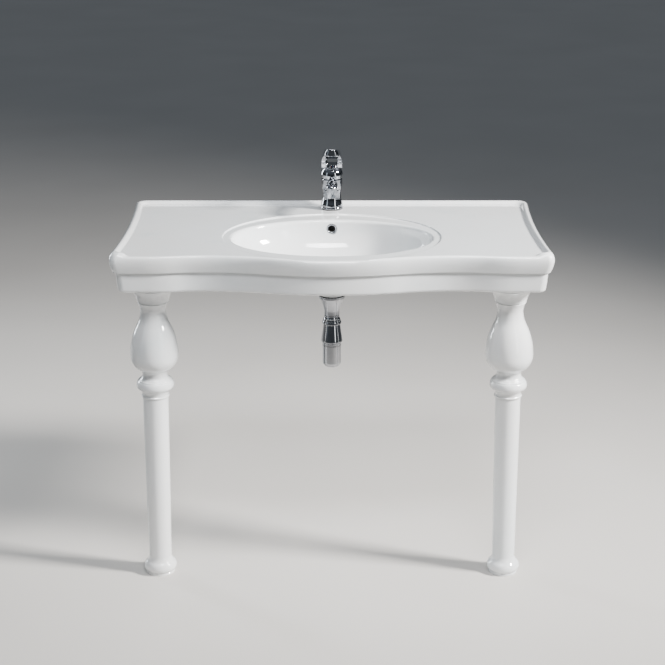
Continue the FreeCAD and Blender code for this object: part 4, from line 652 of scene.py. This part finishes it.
RUBBER = rubber()
BRIGHT_BRASS, DULL_BRASS = (0.76, 0.56, 0.27), (0.58, 0.41, 0.19)
BRIGHT_ZINC, DULL_ZINC = (0.58, 0.59, 0.62), (0.50, 0.49, 0.44)
BRASS = machined("machined_brass", BRIGHT_BRASS, DULL_BRASS, 0.22, 300.0)
ZINC = machined("zinc_plated_steel", BRIGHT_ZINC, DULL_ZINC, 0.28, 260.0)
recoat(RUBBER, "leg_gasket_left", "leg_gasket_right")
recoat(BRASS, "leg_inserts")
recoat(ZINC, "leg_studs", "leg_washers", "leg_nuts")


# ---------------------------------------------------------------------------------------
# The tap's column and spout. Cast brass, ground, polished and chrome plated, standing on
# a rubber base seal. A stud, a horseshoe plate and a nut pull it down from under the deck,
# and two tails bring the water. The ceramic-disc cartridge is held down by a brass nut.

SEAT = DECK + 2
CROWN = DECK + 80
PIVOT = DECK + 90
COLUMN_RADIUS = 25.6
SPOUT_REACH = 112
SPOUT_LOW = DECK + 62
SPOUT_CLIMB = 16.5
SPOUT_ROOT = (17, 13)
SPOUT_TAPER = 4
SPOUT_AROUND = 64
ROOT_FILLET = 7.5
KNURLS = 32
KNURL_DEPTH = 0.18
# The chrome colours are darker than real chrome: painted shade that dims what the chrome reflects.
SHADED_CHROME_CLEAN = (0.42, 0.43, 0.45)
SHADED_CHROME_SMEARED = (0.33, 0.34, 0.365)
SHADED_CHROME_MARKED = (0.30, 0.31, 0.32)


def chrome():
    """Polished chrome plate with faint smears, water marks and a hair-fine grain, its colour kept darker than
    real chrome as painted shade in what it reflects.
    """
    finish = Finish("polished_chrome", {"Metallic": 1.0})
    smear = finish.noise(22.0, 4.0, 0.6)
    marks = finish.ramp(finish.noise(150.0, 2.0), (0.66, BLACK), (0.74, WHITE))
    tone = finish.ramp(smear, (0.35, SHADED_CHROME_CLEAN), (0.7, SHADED_CHROME_SMEARED))
    finish.set({"Base Color": finish.mix(marks * 0.3, tone, (*SHADED_CHROME_MARKED, 1)),
                "Roughness": 0.03 + smear * 0.05 + marks * 0.07})
    finish.bump(finish.noise(40.0, 2.0) + finish.noise(900.0, 1.0) * 0.08, 0.025, 0.0004)
    return finish.material


def plastic(name, light, dark, shine):
    """Moulded plastic with a slight mottle and a spark-eroded grain."""
    finish = Finish(name, {"IOR": 1.49})
    mottle = finish.noise(80.0, 3.0)
    finish.set({"Base Color": finish.ramp(mottle, (0.35, light), (0.7, dark)),
                "Roughness": shine + mottle * 0.15})
    finish.bump(finish.noise(1100.0, 2.0), 0.15, 0.0001)
    return finish.material


CHROME = chrome()
base = profile((17.5, SEAT), (28.2, SEAT), (29.2, SEAT + 1), (29.2, SEAT + 3.4), (28.6, SEAT + 4.2))
base += swept((28.2, SEAT + 4.4), (23.5, DECK + 37), 0.35) + swept((23.5, DECK + 37), (27, DECK + 72), 0.5)
bore = [(27, CROWN - 1), (26.2, CROWN), (22, CROWN), (22, CROWN - 6), (17.6, CROWN - 6), (17.6, DECK + 46),
        (17.5, DECK + 46)]
column = lathe("tap_column", base + bore, 144, (0, TAP_Y, 0), closed=True)
spread = np.linspace(0, 2 * math.pi, SPOUT_AROUND, endpoint=False)
rings = []
for t in [-0.03] + list(np.linspace(0, 0.12, 13)) + list(np.linspace(0.16, 1, 22)):
    half_width, half_height = (half - SPOUT_TAPER * max(t, 0) for half in SPOUT_ROOT)
    root_x = (half_width + ROOT_FILLET) * np.cos(spread)
    leave = np.sqrt(np.maximum(COLUMN_RADIUS**2 - root_x**2, 0))
    away = leave + t * (SPOUT_REACH - leave)
    off = np.clip(ROOT_FILLET - (away - leave), 0, ROOT_FILLET)
    flare = ROOT_FILLET - np.sqrt(ROOT_FILLET**2 - off**2)
    flare *= np.where(np.sin(spread) > 0, np.cos(spread) ** 2, 1)
    climb = np.sin(np.clip(away / SPOUT_REACH, 0, 1) * math.pi / 2)
    height = SPOUT_LOW + SPOUT_CLIMB * climb + (half_height + flare) * np.sin(spread)
    under_cap = CROWN - 0.4 + np.maximum(away - COLUMN_RADIUS - 1, 0) * 0.45
    rings.append(np.column_stack([
        (half_width + flare) * np.cos(spread), TAP_Y - away, np.minimum(height, under_cap)
    ]))
tip = (len(rings) - 1) * SPOUT_AROUND
ends = [tuple(range(SPOUT_AROUND)), tuple(range(tip, tip + SPOUT_AROUND))]
arm = solid("tap_arm", np.vstack(rings), ring_faces(len(rings), SPOUT_AROUND, False) + ends)
nose_y = TAP_Y - SPOUT_REACH
nozzle = profile((11, DECK + 81), (11, DECK + 68), (13.2, DECK + 68), (14, DECK + 68.8, 0.8), (14, DECK + 81),
                 (7, DECK + 88, 7), (0, DECK + 88.6, 46))
nose = lathe("tap_nose", nozzle, 96, (0, nose_y, 0))
body = settle(join("tap_body_chrome", [column, arm, nose]), 38)
dress(body, CHROME, "sink", "chrome", "tap_body")

ring = [(9.3, DECK + 65), (11.2, DECK + 65), (12, DECK + 65.8, 0.8), (12, DECK + 68), (11, DECK + 68),
        (11, DECK + 79), (9.3, DECK + 79)]
housing = lathe("aerator_ring", profile(*ring), 96, (0, nose_y, 0), closed=True)
knurl = np.array([v.co for v in housing.data.vertices]) / MM
turn = np.arctan2(knurl[:, 1] - nose_y, knurl[:, 0])
rim_of_ring = np.hypot(knurl[:, 0], knurl[:, 1] - nose_y) > 11.5
ridge = KNURL_DEPTH * np.cos(KNURLS * turn) * rim_of_ring
knurl[:, :2] += np.column_stack([np.cos(turn), np.sin(turn)]) * ridge[:, None]
housing.data.vertices.foreach_set("co", (knurl * MM).ravel())
dress(settle(housing, 50), CHROME, "sink", "chrome", "aerator_housing")

CREAM, DULL_CREAM = (0.80, 0.79, 0.74), (0.72, 0.71, 0.65)
MILKY, DULL_MILKY = (0.84, 0.84, 0.82), (0.77, 0.77, 0.75)
CARTRIDGE_PLASTIC = plastic("cartridge_plastic", CREAM, DULL_CREAM, 0.32)
WHITE_PLASTIC = plastic("white_plastic", MILKY, DULL_MILKY, 0.28)
recoat(RUBBER, "tap_base_gasket", "aerator_seal", "tap_clamp_gasket")
recoat(BRASS, "cartridge_nut", "cartridge_carrier", "cartridge_stem", "tap_fixing_stud", "tap_fixing_nut")
recoat(ZINC, "stem_pin", "tap_clamp_plate", "inlet_tail_hot", "inlet_tail_cold")
recoat(CARTRIDGE_PLASTIC, "tap_cartridge")
recoat(WHITE_PLASTIC, "aerator_insert")


# ---------------------------------------------------------------------------------------
# The domed cap and the loop lever. The cap is a spun brass shell that screws down over
# the cartridge nut. The lever is one casting, filed and polished: a domed skirt with two
# arms that meet in a finger plate. A grub screw under a red and blue plug holds its stem.

PLATE_LOW = PIVOT + 60
PLATE_RISE = 26
PLATE_FILED = 0.34
shell = profile((24, CROWN), (18, PIVOT + 18.76, 26), steps=24)
shell += profile((17.2, PIVOT + 17.6), (22.6, CROWN, -24.7), steps=24)
cap = lathe("dome_cap_chrome", shell, 128, (0, TAP_Y, 0), closed=True)
dress(settle(cap, 50), CHROME, "sink", "chrome", "dome_cap")

lever = bpy.data.objects.new("tap_lever_chrome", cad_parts["tap_lever"].data.copy())
bpy.context.scene.collection.objects.link(lever)
remesh = lever.modifiers.new("even skin", "REMESH")
remesh.mode = "VOXEL"
remesh.voxel_size = 0.6 * MM
smooth = lever.modifiers.new("filed edges", "SMOOTH")
smooth.factor = 0.5
smooth.iterations = 14
apply(lever)
for point in lever.data.vertices:                   # the finger plate's crown is filed round
    crown = min(max((point.co.z / MM - PLATE_LOW) / PLATE_RISE, 0), 1)
    point.co.x *= 1 - PLATE_FILED * crown**3
settle(lever, 180)
lever.modifiers.clear()
dress(lever, CHROME, "lever", "chrome", "tap_lever")


def index_colours():
    """A glossy plug, red for hot on one half and blue for cold on the other."""
    hot, cold, worn = (0.42, 0.03, 0.03), (0.02, 0.07, 0.36), (0.6, 0.6, 0.6)
    finish = Finish("index_red_blue", {"IOR": 1.49, "Coat Weight": 0.4})
    across = finish.node("ShaderNodeSeparateXYZ", {}, {"Vector": finish.place()}, "X")
    half = finish.ramp(0.5 - across * 400.0, (0.48, cold), (0.52, hot))
    wear = finish.noise(300.0, 3.0)
    finish.set({"Base Color": finish.mix(wear * 0.2, half, (*worn, 1)), "Roughness": 0.15 + wear * 0.15})
    finish.bump(wear, 0.1, 0.0001)
    return finish.material


recoat(index_colours(), "index_plug")
recoat(ZINC, "lever_grub_screw")


# ---------------------------------------------------------------------------------------
# The pop-up waste. A chromed flange seals down into the bowl and threads into the body
# below, on a rubber ring, and a thin ring trims the overflow. The leaning lift rod works
# a pivot rod through a ball joint, and its inner end lifts the plug by an eye in its stem.

WASTE = (0, WASTE_Y, 0)
FLANGE_LOW = BOWL_FLOOR - 1.5
FLANGE_RADIUS = 32
THREAD_END = FLANGE_LOW - 40
THREAD = 20.5
WINDOW_HALF = 5
BODY_TOP = WASTE_SEAT - 4
PORT_Z = BOWL_FLOOR - 51
EYE_HALF = 2.7
EYE_RISE = 3.6
barrel = profile((18, THREAD_END), (THREAD, THREAD_END), (THREAD, FLANGE_LOW), (FLANGE_RADIUS, FLANGE_LOW),
                 (FLANGE_RADIUS, FLANGE_LOW + 1), (25, FLANGE_LOW + 3, 30), (22, FLANGE_LOW + 3),
                 (18, FLANGE_LOW + 1, -8))
flange = lathe("waste_flange_chrome", barrel, 128, WASTE, closed=True)
carve(flange, rounded_block("window", (-WINDOW_HALF, WASTE_Y - 40, FLANGE_LOW - 17),
                            (WINDOW_HALF, WASTE_Y + 40, FLANGE_LOW - 8), 1.5))
dress(settle(flange), CHROME, "sink", "chrome", "waste_flange")

neck_high, neck_low = BODY_TOP - 40, BODY_TOP - 50
outside = profile((16, neck_low), (18.4, neck_low), (19, neck_low + 0.6), (19, neck_high),
                  (32, BODY_TOP - 6, -90), (32.2, BODY_TOP - 5.4), (32.2, BODY_TOP - 0.8), (31.4, BODY_TOP))
inside = profile((THREAD, BODY_TOP), (THREAD, THREAD_END), (17.5, THREAD_END), (17.5, neck_high + 6),
                 (14.5, neck_high - 1), (14.5, neck_low + 8), (16, neck_low + 8))
shell = lathe("waste_shell", outside + inside, 128, WASTE, closed=True)
branch = profile((7, 39), (9.4, 39), (10, 38.4), (10, 19), (7, 19))
port = lathe("waste_port", branch, 64, (0, WASTE_Y, PORT_Z), "Y", closed=True)
dress(settle(join("waste_body_chrome", [shell, port]), 35), CHROME, "sink", "chrome", "waste_body")

plug_low, plug_top = (corner.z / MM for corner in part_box("waste_plug"))
stem = profile((0, plug_low), (3.4, plug_low), (4, plug_low + 0.6), (4, plug_top - 4), (21.4, plug_top - 4),
               (22, plug_top - 3.4, 0.6), (22, plug_top - 2.2), (0, plug_top, 118))
plug = lathe("waste_plug_chrome", stem, 96, WASTE)
eye_low = plug_low + 5
carve(plug, rounded_block("eye", (-EYE_HALF, WASTE_Y - 20, eye_low),
                          (EYE_HALF, WASTE_Y + 20, eye_low + 2 * EYE_RISE), 0.8))
dress(settle(plug), CHROME, "plug", "chrome", "waste_plug")

trim = [(9.4, 4.6), (9.0, 1.4), (9.8, 0.3), (11.6, -0.2), (13.0, 0.5), (12.9, 1.7), (11.4, 2.7), (9.9, 3.4)]
overflow_ring = lathe("overflow_ring", trim, 96, (0, back_of_bowl, OVERFLOW_Z), "Y", closed=True)
dress(settle(overflow_ring, 60), CHROME, "sink", "chrome")

recoat(RUBBER, "waste_upper_seal", "waste_lower_seal", "plug_seal")
recoat(WHITE_PLASTIC, "pivot_ball_seat")
recoat(CHROME, "pivot_ball_nut", "lift_rod", "lift_knob")
recoat(ZINC, "pivot_rod", "rod_clamp_screws")
recoat(BRASS, "rod_clamp")


# ---------------------------------------------------------------------------------------
# The bottle trap. Chromed brass tube and castings: a tail pipe from the waste, a clamping
# nut over a washer, a flared body, and a cup that unscrews for cleaning. A level pipe runs
# back from the body to the wall, where a pressed cover plate hides the hole.

NUT_LOW = BODY_TOP - 73
OUTLET_Z = NUT_LOW - 27
FOOT = NUT_LOW - 46
CUP_TOP = FOOT - 2
CUP_LOW = CUP_TOP - 63
SHARP_EDGE = 25
PIPE = 16
PIPE_BORE = 14.5
SLIP_BORE = 16.1
CUP_RADIUS = 23
CUP_BORE = 19.3
CUP_THREAD = 21.3


def soften(piece, width):
    """Round a turned piece's edges over, so that they catch the light."""
    bevel = piece.modifiers.new("edges", "BEVEL")
    bevel.width = width * MM
    bevel.segments = 3
    bevel.limit_method = "ANGLE"
    bevel.angle_limit = math.radians(SHARP_EDGE)
    apply(piece)
    return settle(piece, 50)


tail_ends = (NUT_LOW - 87, NUT_LOW + 31)
tail = [(PIPE_BORE, tail_ends[0]), (PIPE, tail_ends[0]), (PIPE, tail_ends[1]), (PIPE_BORE, tail_ends[1])]
pipe = lathe("tail_pipe_chrome", profile(*tail), 96, WASTE, closed=True)
dress(soften(pipe, 0.4), CHROME, "sink", "chrome", "tail_pipe")

grip = profile((20, NUT_LOW), (22.6, NUT_LOW), (23.5, NUT_LOW + 0.9, 0.9), (23.5, NUT_LOW + 6),
               (22.5, NUT_LOW + 8), (21.5, NUT_LOW + 8.3), (21.2, NUT_LOW + 12.6), (18.6, NUT_LOW + 19, -14),
               (18.6, NUT_LOW + 21.2), (17.8, NUT_LOW + 22), (SLIP_BORE, NUT_LOW + 22),
               (SLIP_BORE, NUT_LOW + 11.5), (20, NUT_LOW + 11.5))
nut = lathe("trap_inlet_nut_chrome", grip, 128, WASTE, closed=True)
dress(settle(nut, 35), CHROME, "sink", "chrome", "trap_inlet_nut")

flared = profile((CUP_THREAD, FOOT), (25, FOOT), (26.5, FOOT + 1.5, 1.5), (26.5, FOOT + 4.4),
                 (26.1, FOOT + 5.2), (20.4, NUT_LOW), (20, NUT_LOW), (20, NUT_LOW + 8.5),
                 (SLIP_BORE, NUT_LOW + 8.5), (SLIP_BORE, NUT_LOW - 4), (18.2, NUT_LOW - 6),
                 (CUP_THREAD, FOOT + 9))
shell = lathe("trap_shell", flared, 128, WASTE, closed=True)
outlet = profile((15.3, 16), (15.3, 32), (SLIP_BORE, 32), (SLIP_BORE, 44), (19, 44), (19, 16))
spigot = lathe("trap_spigot", outlet, 96, (0, WASTE_Y, OUTLET_Z), "Y", closed=True)
dress(settle(join("trap_body_chrome", [shell, spigot]), 35), CHROME, "sink", "chrome", "trap_body")

wall_of_cup = profile((0, CUP_LOW), (11, CUP_LOW), (CUP_RADIUS, CUP_LOW + 12, 12), (CUP_RADIUS, CUP_TOP - 5),
                      (22.6, CUP_TOP - 4.6), (22.6, CUP_TOP - 3.8), (CUP_RADIUS, CUP_TOP - 3.4),
                      (CUP_RADIUS, CUP_TOP - 0.5), (22.5, CUP_TOP), (CUP_THREAD, CUP_TOP),
                      (CUP_THREAD, FOOT + 8), (CUP_BORE, FOOT + 8), (CUP_BORE, CUP_LOW + 12),
                      (9.3, CUP_LOW + 2, -10), (0, CUP_LOW + 2))
cup = lathe("trap_cup_chrome", wall_of_cup, 128, WASTE)
dress(settle(cup, 35), CHROME, "sink", "chrome", "trap_cup")

back_wall = WALL - WASTE_Y
level = [(PIPE_BORE, 32), (PIPE, 32), (PIPE, back_wall), (PIPE_BORE, back_wall)]
pipe = lathe("outlet_pipe_chrome", profile(*level), 96, (0, WASTE_Y, OUTLET_Z), "Y", closed=True)
dress(soften(pipe, 0.3), CHROME, "sink", "chrome", "trap_outlet_pipe")
barrel = profile((SLIP_BORE, 50), (21.6, 50), (22.5, 49.1, -0.9), (22.5, 33), (21.8, 32), (19, 32), (19, 47),
                 (SLIP_BORE, 47))
nut = lathe("outlet_nut_chrome", barrel, 128, (0, WASTE_Y, OUTLET_Z), "Y", closed=True)
dress(settle(nut, 35), CHROME, "sink", "chrome", "trap_outlet_nut")
cover = profile((16.2, 0), (33, 0), (33, -1.4), (31.4, -3.4), (18.6, -7.4, -40), (17.8, -8), (16.2, -8),
                steps=16)
plate = lathe("wall_cover_chrome", cover, 128, (0, WALL, OUTLET_Z), "Y", closed=True)
dress(settle(plate, 35), CHROME, "sink", "chrome", "wall_rosette")
recoat(RUBBER, "trap_inlet_washer", "trap_cup_seal", "trap_outlet_washer")


# ---------------------------------------------------------------------------------------
# Camera, floor and lights. A pale studio floor under a soft key from the right, a strip
# that draws lines in the chrome, an overhead light for the bowl, a weak cool fill and an
# edge light from behind on the left. The camera stands where the photograph was taken from.

IMAGE = 665
SENSOR = 36
FOCAL_PIXELS = 1635.3
PRINCIPAL = (331.8, 250.0)
CAMERA_DISTANCE = 4.1871
CAMERA_HEIGHT = 1.8681
CAMERA_PITCH = 0.2693

lens = bpy.data.cameras.new("camera")
lens.sensor_width = SENSOR
lens.lens = FOCAL_PIXELS * SENSOR / IMAGE
lens.shift_x = (IMAGE / 2 - PRINCIPAL[0]) / IMAGE
lens.shift_y = (PRINCIPAL[1] - IMAGE / 2) / IMAGE
camera = bpy.data.objects.new("camera", lens)
camera.location = (0, WALL * MM - CAMERA_DISTANCE, CAMERA_HEIGHT)
camera.rotation_euler = (math.pi / 2 - CAMERA_PITCH, 0, 0)
bpy.context.scene.collection.objects.link(camera)
bpy.context.scene.camera = camera

FLOOR_HALF = 20000
FLOOR_DARK = (0.53, 0.51, 0.485)
FLOOR_PALE = (0.56, 0.54, 0.515)
floor = solid("studio_floor", [(-FLOOR_HALF, -FLOOR_HALF, 0), (FLOOR_HALF, -FLOOR_HALF, 0),
                               (FLOOR_HALF, FLOOR_HALF, 0), (-FLOOR_HALF, FLOOR_HALF, 0)], [(0, 1, 2, 3)])
paint = Finish("studio_floor", {"Specular IOR Level": 0.25})
shade = paint.noise(1.5, 2.0)
floor_tone = paint.ramp(shade, (0.3, FLOOR_DARK), (0.7, FLOOR_PALE))
paint.set({"Base Color": floor_tone, "Roughness": 0.5 + shade * 0.1})
floor.data.materials.append(paint.material)


def soft_light(name, place, aim, size, power, colour, spread):
    """A rectangular studio light that faces a point, its beam held to a spread in degrees."""
    lamp = bpy.data.lights.new(name, "AREA")
    lamp.shape = "RECTANGLE"
    lamp.size, lamp.size_y = size
    lamp.energy = power
    lamp.color = colour
    lamp.spread = math.radians(spread)
    holder = bpy.data.objects.new(name, lamp)
    holder.location = place
    holder.rotation_euler = (Vector(aim) - Vector(place)).to_track_quat("-Z", "Y").to_euler()
    bpy.context.scene.collection.objects.link(holder)


soft_light("key", (3.6, -1.1, 2.9), (0, 0.1, 0.6), (0.7, 0.7), 120, (1.0, 0.98, 0.95), 70)
soft_light("right strip", (1.9, -2.3, 1.3), (0, 0, 0.7), (0.3, 2.0), 5, (1.0, 0.99, 0.97), 120)
soft_light("overhead", (0.2, -1.9, 3.6), (0, 0.1, 0.8), (1.6, 0.7), 16, (0.97, 0.98, 1.0), 60)
soft_light("fill", (-3.4, -2.2, 1.5), (0, 0, 0.6), (0.8, 2.4), 3, (0.80, 0.91, 1.0), 120)
soft_light("left edge", (-2.6, 1.9, 1.4), (0, 0, 0.6), (0.5, 2.2), 20, (0.90, 0.96, 1.0), 100)


class Surroundings(Finish):
    """What surrounds the studio floor, made of the same kinds of node as a finish."""

    def __init__(self, name):
        self.world = bpy.data.worlds.new(name)
        self.world.use_nodes = True
        self.tree = self.world.node_tree
        self.shader = self.tree.nodes["Background"]


LEVEL_GREY = (0.10, 0.11, 0.12)
UPPER_BLUE = (0.56, 0.63, 0.72)
studio = Surroundings("studio")
way = studio.node("ShaderNodeTexCoord", {}, {}, "Generated")
up = studio.node("ShaderNodeSeparateXYZ", {}, {"Vector": way}, "Z")
studio.set({"Color": studio.ramp(up, (0.0, LEVEL_GREY), (0.75, UPPER_BLUE)), "Strength": 0.33})
bpy.context.scene.world = studio.world
